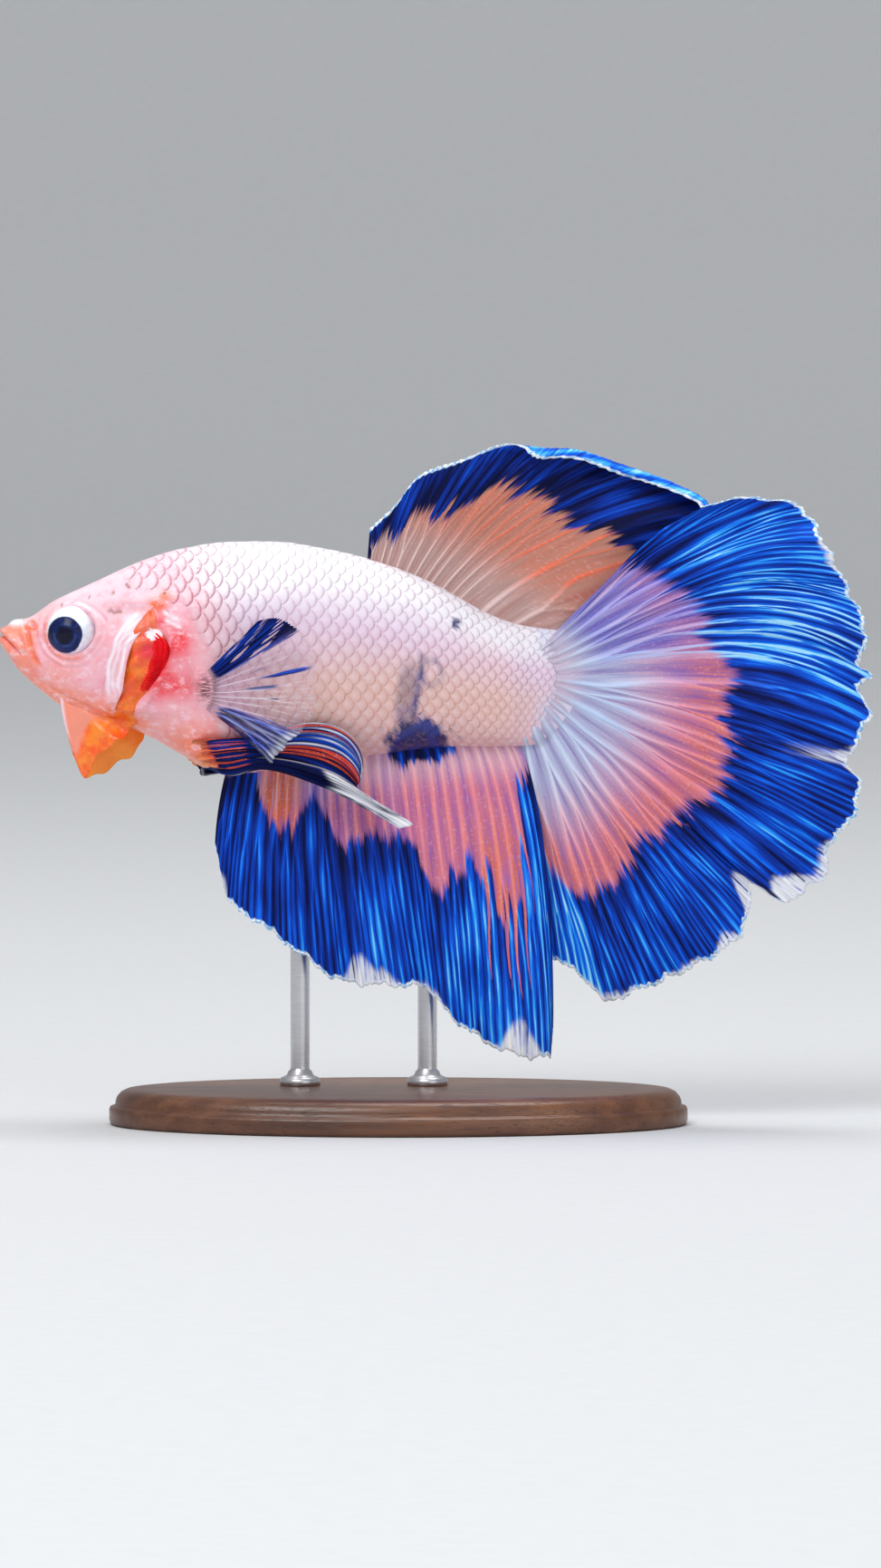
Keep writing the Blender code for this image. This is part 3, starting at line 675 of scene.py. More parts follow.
def fin_finish(name, inner, outer, line, turn_at, solid, streaky=0.45, thin=0.45):
    """inner and outer are (membrane, ray) colours near the body and further out, line is the
    colour between two rays, turn_at is how far out inner becomes outer, solid is how opaque
    the membrane is, streaky is how bright the fine streaks along the rays are, and thin is how
    narrow the rays are drawn."""
    finish = Finish(name, roughness=0.55, specular_ior_level=0.1)
    across, reach, rib, tone, zone, edge = finish.masks("across reach rib tone zone edge")
    lilac, warm, glint, spark, sheen, pale, clear, base = finish.masks(
        "lilac warm glint spark sheen pale clear base"
    )

    def along_rays(fine, long, seed, detail=1.0):
        where = finish.node("ShaderNodeCombineXYZ", (across * fine, reach * long, seed))
        return finish.noise(where, 1.0, detail)

    streak, cloud = along_rays(3.2, 0.22, 0, 3), along_rays(0.45, 0.14, 3)
    joint = along_rays(2.0, 3.4, 7)
    dark, ridge, strand = rib.step(0.42, 0.0), rib.step(thin, 1.0), streak.step(0.34, 0.66)
    # lit and strand are the fine streaks along the rays: partly the rays' own paler colour, partly
    # painted highlight.
    lit = (ridge * 0.7 + strand * streaky).clipped()
    turned = (reach + streak * (turn_at * 0.9)).step(turn_at * 0.9, turn_at * 2.0)
    rosy = finish.mix(turned, finish.mix(lit, *inner), finish.mix(lit, *outer))
    rosy = finish.layers(
        rosy,
        (lilac * cloud.step(0.3, 0.6, 0.5, 1.0), finish.mix(lit, *LILACS)),
        (dark * cloud.step(0.34, 0.62, 0.1, 0.55), line),
        (warm * streak.step(0.4, 0.54), finish.mix(lit, *WARMS)),
        (joint.step(0.54, 0.66) * streak.step(0.42, 0.55) * 0.15, FLECK_TINT),
    )
    level = tone * 0.1 + strand * 0.2 + cloud.step(0.34, 0.66) * 0.2 + ridge * 0.2
    level = level - dark * 0.27 + 0.19 - zone.step(4.5, 1.0) * 0.14
    # glint lifts or lowers the blue: in the tail it holds painted highlights and painted shade of
    # the pleats, on the dorsal fin's roll a painted highlight, in the other fins mostly their own
    # lighter and darker blue; spark adds painted highlights on the brightest ray crests.
    level = level + glint * (ridge * strand * 0.5 + 0.6)
    blue = finish.ramp(level + spark * ridge * streak.step(0.42, 0.58), BLUES)
    border = (zone + streak * 3.4 - 1.7).step(-0.6, 0.6)
    pale = pale * streak.step(0.3, 0.55)
    colour = finish.layers(
        finish.mix(border, rosy, blue),
        # a sky-blue painted highlight over the rays, and near the tail's root its own pale blue
        (sheen * ridge * strand, SHEEN_TINT),
        ((edge + joint * 0.3).step(0.56, 0.4), finish.mix(joint.step(0.4, 0.55), *RIM_TINTS)),
        (pale, finish.mix(lit, *PALES)),
        (base * joint.step(0.3, 0.5, 0.5, 1.0), BASE_TINT),
    )
    finish.set("Base Color", colour)
    seen = finish.math("MAXIMUM", ridge * (1.0 - solid) + solid, border * 0.97, clamp=True)
    finish.set("Alpha", (seen * (1.0 - clear) - pale * 0.15).clipped())
    finish.relief(streak * 0.8 + joint * 0.3, 0.1)
    return finish.material


print("fin blues run through", len(BLUES), "steps")

# %% [markdown]
# Each fin's masks are worked out where its shape is known: how far past the colour border a
# point lies, how far from the free edge, and where highlights are painted on the rays. The
# tail's upper half gets the brightest painted highlights, and a sky-blue sheen lies over its rosy
# part: painted highlight round the brightest rays, and the fin's own pale blue near the root.

# %% The tail fin's colours
CAUDAL_BORDER = smooth([  # (angle, distance from the hub) where the rosy part ends
    (-86, 14.5), (-80, 18.0), (-73, 17.8), (-63, 17.3), (-57, 16.0), (-50, 16.9), (-36, 17.0),
    (-28, 18.1), (-20, 17.8), (-11, 15.9), (4, 16.2), (13, 14.3), (20, 14.8), (30, 14.0),
    (37, 13.0), (45, 12.0),
])
CAUDAL_PALE = [  # (angle, width, depth) of the pale patches of the edge
    (22, 4, 0.9), (-14.5, 2.2, 1.6), (-33, 5, 1.2), (-39.6, 2.8, 2.6), (-45, 2.0, 2.4),
    (-53, 2.4, 1.3), (-62, 4, 0.7), (-76, 5, 0.9),
]
CAUDAL_SEAM = [polar(CAUDAL_HUB, -16.6, 20.5), polar(CAUDAL_HUB, -15.4, 27.6)]  # a lobe's free edge
# The glints below are painted highlights on the tail's rays, with a few rays painted darker between
# them.
CAUDAL_GLINTS = [  # (angle, width, strength, starts, full) of the brighter and darker rays
    (11, 8, 0.44, 10, 17), (6, 4, -0.1, 17, 22), (26, 8, 0.28, 9, 16), (-37, 7, 0.1, -1, 0),
    (-5, 6, 0.2, -1, 0),
]


def to_edge(reach):
    """Distance to the free edge, in millimetres along the rays."""
    return reach[-1:] - reach


def tail_cover(x, z, rib):
    """The tail's rays start on top of the scaly end of the body and clasp it."""
    level = x - tail_slant(x) * (z - mid_height(x))
    body = flank(level, z) * SLIM(level)
    buried = ease(0.65, 1.0, body - 0.35 * rib)
    return np.where(body > 0, body + 0.03 + 0.12 * rib - 0.8 * buried, 0)


def caudal_masks(along, across, rib, hue, reach, middle):
    run, rise = middle[..., 0] - CAUDAL_HUB[0], middle[..., 2] - CAUDAL_HUB[1]
    angle, out = np.degrees(np.arctan2(rise, run)), np.hypot(run, rise)
    zone = out - CAUDAL_BORDER(angle) + 1.2 * hue
    # glint: painted highlights on the tail's rays, brightest in its upper half, with a few rays
    # painted darker
    glint = 0.1 * ease(30, 36, angle) + 0.3 * ease(-62, -72, angle)
    for at, width, size, starts, full in CAUDAL_GLINTS:
        glint = glint + size * bump(angle, at, width) * ease(starts, full, out)
    # folds is painted light and shade: lighter and darker bands that run with the tail's pleats,
    # added to the glint
    folds = 0.1 * np.sin(TAU * (8.3 * across + 0.3)) + 0.09 * np.sin(TAU * (4.6 * across + 0.7))
    # sheen and spark: painted highlights on the rays round 10 degrees; the sheen near the root is
    # also the fin's own pale blue
    sheen = bump(angle, 10, 8) * ease(4, 7, out) * (1 - 0.5 * ease(14, 22, out))
    lilac = 0.9 * ease(6, 18, angle) * ease(4, 7, out)
    lilac = lilac + 0.45 * bump(angle, 2, 10) * ease(9, 13, out)
    lap, share = to_line(middle[..., 0], middle[..., 2], CAUDAL_SEAM)
    lapped = 0.95 * ease(-0.1, 0.1, lap) * (1 - ease(0.2, 1.3, lap))
    lapped = lapped * ease(0.1, 0.9, share) * (share < 1)
    pale = ease(0.0, 0.6, bumps(fan_angle(across), CAUDAL_PALE) - to_edge(reach))
    return {
        "zone": zone,
        "glint": glint + folds * ease(6, 16, out),
        "spark": 0.9 * bump(angle, 10, 8) * ease(9, 17, out) * (1 - 0.45 * ease(23, 27, out)),
        "sheen": np.maximum(sheen, 0.9 * bump(angle, -25, 45) * (1 - ease(7.5, 13, out))),
        "lilac": lilac,
        "edge": np.minimum(to_edge(reach), 2.6 * np.abs(lap) + 0.4),
        "pale": np.maximum(pale, lapped),
        "warm": 0.6 * ease(-5.0, -1.5, zone) * (1 - ease(2, 14, angle)),
        "base": 1 - ease(1.6, 4.6, out - 1.2 * (1 - rib)),
    }


tail_finish = fin_finish(
    "tail_fin_skin", (tint(166, 170, 212), tint(224, 232, 250)),
    (tint(192, 112, 148), tint(246, 154, 172)), tint(112, 78, 170), 8.0, 0.94,
)
print("the rosy part of the tail reaches", float(CAUDAL_BORDER(-28)), "mm from the hub")

# %% [markdown]
# The dorsal fin's rolled rim faces up, and its blue is painted brighter there as a painted
# highlight. In the anal fin the border rises and falls, and a few single rays stay red almost
# to the edge.

# %% The dorsal and anal fins' colours
DORSAL_BORDER = smooth([  # (place, distance from the root) where the rosy part ends
    (0, 0.4), (0.08, 1.6), (0.2, 3.2), (0.32, 4.7), (0.44, 7.6), (0.5, 10.2), (0.57, 10.2),
    (0.66, 10.6), (0.75, 11.0), (0.9, 12.0), (1, 12.4),
])
# DORSAL_GLEAM is a painted highlight on the dorsal fin's blue, as (x, z, width, height, strength).
DORSAL_GLEAM = [(13.5, 51.3, 2.5, 0.8, 0.22)]
ANAL_BORDER = smooth([
    (0, -1), (0.12, -0.5), (0.165, 3.6), (0.25, 5.0), (0.33, 2.4), (0.39, 5.0), (0.46, 7.4),
    (0.53, 6.4), (0.62, 8.5), (0.68, 11.2), (0.75, 9.6), (0.83, 12.5), (0.885, 14.0), (0.92, 6.5),
    (0.95, 3.2), (1, 1),
])
ANAL_STREAKS, STREAK_WIDTH = (0.8, 0.845, 0.865, 0.895, 0.925), 0.0035  # the rays that stay red
ANAL_PALE = [
    (0.06, 0.025, 1.3), (0.425, 0.035, 3.0), (0.49, 0.03, 1.4), (0.62, 0.07, 0.9),
    (0.86, 0.045, 3.4),
]
ANAL_LILAC = [(0.335, 0.05, 0.7), (0.13, 0.03, 0.6), (0.44, 0.02, 0.4), (0.56, 0.03, 0.35)]
ANAL_GLINTS, ANAL_WARM = [(0.96, 0.05, 0.04), (0.08, 0.16, -0.08)], [(0.21, 0.07, 1.1)]
ANAL_BLOT = [(1.75, 32.2, 2.7, 2.0, 1)]  # the flank's dark mark runs on into the fin


def dorsal_masks(along, across, rib, hue, reach, middle):
    run, straight, length = dorsal_roll(along, across)
    rolled = ease(0.2, 1.3, run - straight) * ease(0.25, 0.5, across)
    # glint paints a highlight on the upturned roll, in brighter and darker strands, and lowers the
    # blue elsewhere
    glint = 0.42 * rolled - 0.2 * (1 - rolled) + spots(middle[..., 0], middle[..., 2], DORSAL_GLEAM)
    glint = glint + 0.25 * rolled * np.sin(TAU * (7 * across + 0.6 * (run - straight)))
    return {
        "zone": reach - ROOT_DEPTH - DORSAL_BORDER(across) + 1.3 * hue,
        "glint": glint,
        "edge": to_edge(reach),
        "rib": rib + (0.62 - rib) * 0.8 * rolled,
    }


def anal_masks(along, across, rib, hue, reach, middle):
    streaky = 1.4 + 3.0 * ease(0.62, 0.85, across) * (1 - ease(0.88, 0.93, across))
    zone = reach - ROOT_DEPTH - ANAL_BORDER(across) + streaky * hue
    wander = 0.004 * np.sin(0.6 * reach)
    streaks = sum(bump(across, at + wander, STREAK_WIDTH) for at in ANAL_STREAKS)
    zone = zone - 9 * streaks * (1 - ease(21, 25, reach))
    blot = spots(middle[..., 0], middle[..., 2], ANAL_BLOT)
    glint = 0.1 * bump(across, 0.5, 0.14) * ease(8, 13, reach) + 0.22 * ease(0.6, 0.72, across)
    glint = glint + bumps(across, ANAL_GLINTS) - 0.3 * ease(0.3, 0.6, blot)
    warm = 0.55 * ease(0.7, 0.84, across) * ease(5, 11, reach) + 0.25 * ease(2, 6, reach)
    return {
        "zone": np.maximum(zone, 7 * (blot - 0.24) + 1.2 * hue),
        "glint": glint,
        "edge": to_edge(reach) + 0.02,
        "pale": ease(0.0, 0.9, bumps(across, ANAL_PALE) - to_edge(reach)),
        "warm": warm + bumps(across, ANAL_WARM),
        "lilac": bumps(across, ANAL_LILAC) + 0.1 * ease(3, 6, reach) * ease(0.45, 0.6, across),
    }


dorsal_finish = fin_finish(
    "dorsal_fin_skin", (tint(184, 148, 142), tint(232, 202, 200)),
    (tint(196, 138, 120), tint(244, 116, 84)), tint(176, 104, 98), 4.6, 0.88, 0.35, 0.7,
)
anal_finish = fin_finish(
    "anal_fin_skin", (tint(216, 162, 180), tint(236, 190, 200)),
    (tint(190, 110, 158), tint(244, 144, 152)), tint(92, 78, 190), 3.0, 0.95,
)
print("the anal fin has", len(ANAL_STREAKS), "red rays")

# %% [markdown]
# With shapes, rays and colours ready, each big fin is one call. The numbers are the grid, the
# rays with the places where they fork, and the thicknesses of skin and rays.

# %% Make the three big fins
fin_caudal = fin_sheet(
    "fin_caudal", caudal, (84, 560), (13, (0.14, 0.36, 0.62), 11), (0.12, 0.26, 0.1, 0.2),
    tail_finish, caudal_masks, 0.22, tail_cover,
)
fin_dorsal = fin_sheet(
    "fin_dorsal", dorsal, (90, 300), (13, (0.22, 0.7), 12), (0.12, 0.26, 0.1, 0.2),
    dorsal_finish, dorsal_masks, 0.15,
)
fin_anal = fin_sheet(
    "fin_anal", anal, (90, 400), (27, (0.42,), 13), (0.12, 0.24, 0.1, 0.2),
    anal_finish, anal_masks, 0.15,
)
for piece, node in ((fin_caudal, "caudal_fin"), (fin_dorsal, "dorsal_fin"), (fin_anal, "anal_fin")):
    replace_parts(piece, node)

# %% [markdown]
# The pectoral fin is clear as glass between its rays, so the flank shows through it. Only its
# uppermost and lowest rays are navy. The pelvic fin is striped lengthways in navy, white and
# orange-red, and its longest rays form a black blade with a white tip.

# %% Make the paired fins
PECTORAL_STREAKS = [  # blue streaks: (place, how far out, half width, half length, strength)
    (0.505, 0.72, 0.014, 0.3, 1.0), (0.575, 0.5, 0.014, 0.2, 0.95), (0.44, 0.5, 0.014, 0.16, 0.6),
    (0.66, 0.62, 0.014, 0.12, 0.5),
]
# Stripes of the pelvic fin from its upper edge down, as (place, half width, strength).
PELVIC_WHITES = [(at, half, 1) for at, half in (
    (0.02, 0.012), (0.1, 0.014), (0.215, 0.018), (0.31, 0.012), (0.395, 0.01), (0.7, 0.011),
)]
PELVIC_REDS = [(at, half, 1.3) for at, half in (
    (0.055, 0.014), (0.17, 0.012), (0.445, 0.02), (0.5, 0.018), (0.56, 0.022),
)]
# The white spot at the waist, where the rays gather, is a painted white-blue highlight.
PELVIC_GLINTS, PELVIC_PAINTED_GLINT = [(0.29, 0.09, 0.5), (0.13, 0.05, 0.4)], [(0.42, 0.15, 0.05, 0.1, 0.9)]
NO_RIM = 9.0  # an edge distance so large that the white rim doesn't show


def pectoral_masks(along, across, rib, hue, reach, middle):
    top = 1 - ease(0.26, 0.42, across + 0.05 * hue)
    bottom = ease(0.78, 0.86, across) * ease(0.0, 0.3, along) * (0.66 + 0.34 * ease(0.2, 0.6, rib))
    fleck = spots(across, along, PECTORAL_STREAKS)
    line, pale_ray = ease(0.25, 0.6, rib), bump(across, 0.66, 0.08)
    window = 0.85 * (1 - line) * ease(0.1, 0.7, np.sin(11 * along + 44 * across))
    window = window * ease(0.2, 0.4, along)
    dark = top * (0.95 - window) * ease(0.02, 0.15, along) + bottom + fleck
    glint = 0.22 * hue + 0.1 * bottom - top * (0.08 + 0.2 * ease(0.85, 1.0, along))
    clear = 0.7 * (1 - np.clip(top + bottom + fleck, 0, 1)) * ease(0.1, 0.6, along)
    clear = clear * (1 - 0.5 * pale_ray * line) + 0.3 * bottom * (1 - line)
    tips = 0.3 * line * ease(0.1, 0.3, along) + (0.6 + 0.4 * hue) * ease(0.86, 0.97, along)
    return {
        "zone": 3.4 * (dark - 0.5), "glint": glint - 0.08 * np.clip(fleck, 0, 1), "edge": NO_RIM,
        "pale": 0.6 * pale_ray * line + bottom * tips, "clear": clear,
    }


def pelvic_masks(along, across, rib, hue, reach, middle):
    lobe, striped = across + 0.015 * np.sin(9 * along), ease(0.3, 0.45, along)
    blade = ease(0.68, 0.74, across)
    tip = ease(0.68, 0.74, along + 0.1 * (across - 0.85)) * (1 - 0.5 * bump(across, 0.86, 0.02))
    white = bumps(lobe, PELVIC_WHITES) * striped + blade * tip
    # a painted highlight where the rays gather at the waist
    white = white + spots(along, across, PELVIC_PAINTED_GLINT)
    white = white + 0.5 * bump(across, 0.985, 0.015) * (1 - ease(0.2, 0.3, along))
    bands = ease(0.35, 0.65, np.sin(64 * across + 5 * along))
    bands = np.maximum(bands, 1 - ease(0.05, 0.16, along))
    root = (1 - ease(0.14, 0.4, along)) * (1 - ease(0.78, 0.88, across)) * bands
    red = bumps(lobe, PELVIC_REDS) * (1 - blade) * striped + root
    return {
        "zone": 3.0 - 6.0 * np.clip(red, 0, 1), "edge": NO_RIM, "pale": np.clip(white, 0, 1),
        "glint": bumps(lobe, PELVIC_GLINTS) - 0.34 - 0.2 * blade,
    }


paddle_finish = fin_finish(
    "pectoral_fin_skin", (tint(116, 90, 112), tint(204, 172, 196)),
    (tint(214, 180, 206), tint(240, 222, 240)), tint(176, 138, 166), 1.0, 0.3, 0.45, 0.78,
)
blade_finish = fin_finish(
    "pelvic_fin_skin", (tint(240, 140, 84), tint(250, 172, 116)),
    (tint(200, 52, 40), tint(240, 104, 78)), tint(90, 30, 44), 2.4, 0.95,
)
for (side, word), spread, droop, flare in zip(SIDES, (2.6, 3.4), (0, 14), (0.0, 2.4)):
    paddle = fin_sheet(
        "fin_pectoral_" + word, pectoral(side, spread), (60, 220), (13, (0.45, 0.7), 21 + side),
        (0.05, 0.17, 0.06, 0.08), paddle_finish, pectoral_masks, 0.16,
    )
    blade = fin_sheet(
        "fin_pelvic_" + word, pelvic(side, droop, flare), (70, 170), (6, (0.3, 0.6), 31 + side),
        (0.1, 0.3, 0.12, 0.16), blade_finish, pelvic_masks,
    )
    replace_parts(paddle, "pectoral_fin_" + word)
    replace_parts(blade, "pelvic_fin_" + word)

# %% [markdown]
# The head is where a fish is recognised: a mouth that opens upwards, a nostril, folds round
# the eye, thin bones that ridge the cheek, and the hard gill cover with the open gill behind
# it. A sculptor would push these out of a smooth body. Here each one is a small hill or groove
# whose height depends on the distance to a line or a point of the side view.

# %% Folds of the head
EYE_AT, EYE_OUT, EYE_RADIUS = (-26.95, 40.95), 2.35, 2.08
NOSTRIL = (-30.2, 41.45)
MOUTH = [(-34.4, 41.1), (-33.3, 40.75), (-32.6, 40.35), (-31.9, 39.7), (-31.2, 38.85)]
JAW_FOLD = [(-31.0, 41.6), (-30.6, 40.6), (-30.35, 39.7), (-30.0, 38.7), (-29.3, 37.7)]
THROAT_FOLD = [(-30.2, 37.2), (-28.4, 36.0), (-26.2, 34.9), (-24.0, 34.2)]
CHEEK_RIDGE = [
    (-21.2, 42.8), (-22.3, 41.7), (-23.25, 40.3), (-23.75, 38.4), (-24.0, 36.4), (-23.6, 35.2),
]
CHEEK_LINES = [(0.0, 0.14, 0.0), (0.42, 0.1, 1.3), (0.95, 0.13, 2.9)]  # (place, height, ripple)
COLLAR_FOLDS = [
    [(-19.5, 42.8), (-18.6, 42.2), (-17.9, 41.9)], [(-19.3, 42.1), (-18.4, 41.6), (-17.7, 41.3)],
]
# Profiles across a line or round a point, as (distance, width, height) of each ridge or groove.
LIPS = [(0.42, 0.3, 0.26), (-0.4, 0.3, 0.22), (0, 0.1, -0.42)]
JAW = [(-0.3, 0.25, 0.1), (0, 0.12, -0.16), (0.35, 0.2, 0.08)]
UNDER_EYE = [(2.7, 0.14, 0.1), (2.45, 0.1, -0.09), (3.0, 0.12, -0.07)]
NOSTRIL_RIM = [(0.3, 0.12, 0.12), (0, 0.14, -0.4)]
HEAD_HILLS = [  # (x, z, width, height in z, how far it stands out)
    (-25.6, 37.6, 1.6, 1.9, 0.22), (-29.4, 40.1, 0.5, 0.8, -0.14), (-17.6, 38.4, 1.0, 2.2, 0.3),
    (-16.1, 36.6, 0.5, 1.2, 0.4), (-16.9, 36.6, 0.22, 1.6, -0.22), (-16.6, 31.0, 0.9, 0.9, 0.35),
]


def from_eye(x, z):
    return np.hypot(x - EYE_AT[0], z - EYE_AT[1])


def from_nostril(x, z):
    return np.hypot(x - NOSTRIL[0], z - NOSTRIL[1])


def cheek_fold(ridge, z, at, wave):
    """Distance to one of the cheek's rippled folds."""
    return ridge - at - 0.06 * np.sin(2.1 * z + wave)


def collar(x, z, width):
    """1 on the small folds behind the top of the gill."""
    lines = [to_line(x, z, line) for line in COLLAR_FOLDS]
    return sum(bump(fold, 0, width) * within(along, 0.2, 0.8) for fold, along in lines)


def head_relief(x, z):
    """How far the skin of the head and shoulder stands out of the smooth body."""
    out = from_eye(x, z)
    low = ease(0.9, -0.7, z - EYE_AT[1] + 0.35 * (x - EYE_AT[0]))
    relief = 0.2 * bump(out, 2.14, 0.2) - 1.35 * (1 - ease(1.45, 1.95, out))
    relief = relief + low * bumps(out, UNDER_EYE)
    relief = relief - 0.07 * ease(0.5, 1.2, z - EYE_AT[1]) * bump(out, 2.55, 0.12)
    lip, along = to_line(x, z, MOUTH)
    relief = relief + bumps(lip, LIPS) * (1 - ease(0.86, 1.0, along))
    fold, along = to_line(x, z, JAW_FOLD)
    relief = relief + bumps(fold, JAW) * within(along, 0.15, 0.8)
    fold, along = to_line(x, z, THROAT_FOLD)
    relief = relief - 0.12 * bump(fold, 0, 0.16) * within(along, 0.2, 0.8)
    ridge, along = to_line(x, z, CHEEK_RIDGE)
    for at, size, wave in CHEEK_LINES:
        profile = [(0, 0.12, size), (0.22, 0.1, -0.07)]
        relief = relief + bumps(cheek_fold(ridge, z, at, wave), profile) * within(along, 0.1, 0.85)
    relief = relief + 0.14 * collar(x, z, 0.14)
    return relief + bumps(from_nostril(x, z), NOSTRIL_RIM) + spots(x, z, HEAD_HILLS)


print("depth of the eye's socket:", round(float(head_relief(*EYE_AT)), 2), "mm")

# %% [markdown]
# The gill cover ends in a free edge. Behind it the skin turns round that edge, runs inwards
# under the cover, crosses the floor of the gill chamber and comes up again at the shoulder. A
# height cannot do this, so a few rows of the skin's grid are folded along a path instead.

# %% The fold of the gill cover
COVER_EDGE = smooth([  # (z, x)
    (33.4, -23.6), (34.3, -23.5), (35, -23.25), (36.2, -22.75), (36.9, -22.65), (38.4, -22.4),
    (39.9, -21.95), (41.4, -21.0), (42.9, -20.6), (44, -20.2),
])
SHOULDER_EDGE = smooth([
    (34.2, -22.0), (35, -21.2), (36.4, -20.3), (38.0, -19.2), (39.4, -18.6), (40.3, -18.9),
    (41.6, -19.6),
])
COVER_FLARE = smooth([
    (34.0, 0), (34.8, 0.35), (36, 0.6), (38, 0.68), (40.5, 0.5), (42, 0.2), (43.2, 0),
])
CHAMBER = smooth([
    (34.0, 0), (34.8, 0.22), (35.8, 0.6), (37.2, 1.0), (39.3, 0.95), (40.6, 0.45), (41.8, 0),
])
FOLD_AT, FOLD_WIDTH, FOLD_REACH = -21.8, 0.6, 4.5
FOLD_PATH = smooth([  # (share across the fold, back, flare's share, chamber's share, inwards)
    (0, 0.0, 1, 0, 0), (0.1, 0.07, 1, 0, -0.06), (0.22, 0.07, 1, 0, -0.16),
    (0.34, -0.02, 1, 0, -0.22), (0.6, -0.5, 0.55, 0, -0.26), (0.78, -0.7, 0, -0.45, -0.1),
    (0.9, -0.5, 0, -0.92, 0), (1, -0.15, 0, -1, 0),
])


def fold_skin(x, z):
    """New side-view places of the skin's grid, and its height over the smooth body."""
    side = ease(33.6, 34.6, z) * (1 - ease(42.4, 43.6, z))
    near = 1 - ease(0, 1, np.abs(x - FOLD_AT) / FOLD_REACH)
    edge, flare, deep, past = COVER_EDGE(z), COVER_FLARE(z), CHAMBER(z), x - FOLD_AT
    back, flare_share, chamber_share, inwards = FOLD_PATH(np.clip(past / FOLD_WIDTH, 0, 1))
    opened = ease(0, 0.35, flare)
    behind = x > FOLD_AT + FOLD_WIDTH
    inside = (x > FOLD_AT) & ~behind
    drawn = -0.75 * (1 - ease(0, 1.8, past - FOLD_WIDTH))
    shift = np.where(inside, back - past, 0) + np.where(behind, drawn, 0)
    moved = x + (edge - FOLD_AT) * near * side + shift * opened * side
    shoulder = SHOULDER_EDGE(z)
    floor = -deep * (1 - ease(shoulder - 0.55, shoulder + 0.1, moved))
    floor = floor + 0.22 * bump(moved, shoulder + 0.35, 0.3) * ease(0.1, 0.4, deep)
    turned_in = flare_share * flare + chamber_share * deep + inwards * opened
    lift = flare * ease(-2.4, 0, moved - edge) ** 1.5
    return moved, np.where(behind, floor, np.where(inside, turned_in, lift)) * side


print("gill cover", float(COVER_FLARE(38)), "mm out, chamber", float(CHAMBER(38)), "mm deep")

# %% [markdown]
# The skin is one grid of rings from snout to tail, closer together on the head and closest in
# the gill cover's fold. The reliefs push it sideways and the fold moves it lengthways.

# %% The skin's grid
SKIN_COLUMNS = 232
RING_GAPS = [(0, 0.02), (0.02, 0.09), (0.3, 0.09), (0.45, 0.1), (0.5, 0.2), (0.97, 0.2), (1, 0.03)]
ring_steps = np.cumsum(np.interp(np.linspace(0, 1, 300), *zip(*RING_GAPS)))
ring_share = (ring_steps - ring_steps[0]) / (ring_steps[-1] - ring_steps[0])
ring_places = SNOUT_X + 0.003 + (TAIL_END_X - SNOUT_X - 0.006) * ring_share
before_fold, after_fold = ring_places < FOLD_AT - 0.02, ring_places > FOLD_AT + FOLD_WIDTH + 0.02
ring_places = ring_places[before_fold | after_fold]
fold_rings = FOLD_AT + FOLD_WIDTH * np.linspace(0, 1, 15)
ring_places = np.unique(np.round(np.concatenate([ring_places, fold_rings]), 5))
rings = len(ring_places)
ring_x, ring_turn = np.meshgrid(ring_places, np.arange(SKIN_COLUMNS) / SKIN_COLUMNS, indexing="ij")
smooth_body = body_point(ring_x, ring_turn)
away = -normals_of(smooth_body, wrap=True)
side_x, side_z = smooth_body[..., 0], smooth_body[..., 2]
moved, folded = fold_skin(side_x, side_z)
snout = 1 - ease(-32.4, -31.0, ring_x)
relief = head_relief(side_x, side_z) * np.maximum(ease(0.25, 0.6, np.abs(away[..., 1])), snout)
skin_grid = smooth_body + away * relief[..., None]
skin_grid = skin_grid + np.stack([moved - side_x, np.sign(away[..., 1]) * folded, 0 * moved], -1)
skin_away = -normals_of(skin_grid, wrap=True)
unwrap_run = (ring_places - SNOUT_X) / (TAIL_END_X - SNOUT_X)
print("the skin has", rings, "rings of", SKIN_COLUMNS, "points")

# %% [markdown]
# The skin's colours are zones: white, lavender, rose, salmon, red and orange flesh, pale
# bones, and navy marks that differ from side to side. The white of the back and snout, the
# lavender spots on the shoulder and the pale lines on the cheek are partly painted highlight.
# Each zone is a number from 0 to 1 at every point, worked out from soft spots, lines and steps
# of the side view. The scales on top ask the same function, so that they carry the same markings.

# %% The markings
SPOTS = {  # zone: (x, z, width, height, strength) of its soft spots
    # The lavender spots on the shoulder's bulge are partly its lavender colour and partly painted
    # highlight.
    "lavender": [(-17.9, 38.6, 0.9, 0.8, 0.6), (-17.3, 40.2, 0.5, 1.0, 0.5)],
    "rose": [(-17.4, 43.5, 1.8, 2.4, 0.3)],
    "red": [
        (-18.0, 40.1, 1.1, 1.5, 1.1), (-18.2, 36.6, 1.8, 1.2, 1), (-19.6, 41.9, 0.9, 0.9, 0.55),
        (-19.8, 38.4, 0.9, 2.4, 1.3),
    ],
    "orange": [
        (-16.2, 31.2, 1.9, 1.2, 0.9), (-19.1, 43.95, 0.5, 0.35, 1.2), (-19.8, 43.2, 0.65, 0.5, 1.3),
    ],
    # Of the pale spots, the first is a white flake of the skin above the gill; the second, on the
    # upper lip, and the third, on the cheek's ridge, are partly pale skin and partly painted
    # highlight.
    "pale": [
        (-20.2, 40.7, 0.75, 0.55, 1), (-31.9, 41.7, 0.9, 0.3, 1), (-22.0, 41.4, 0.6, 1.0, 0.75),
    ],
    "brown": [(-15.9, 36.4, 0.7, 1.1, 0.95)],
}
CHEEK_SPOT, MARK_SPOT = [(-28.2, 37.3, 1.7, 1.3, 0.6)], [(1.75, 31.7, 2.6, 2.1, 1)]
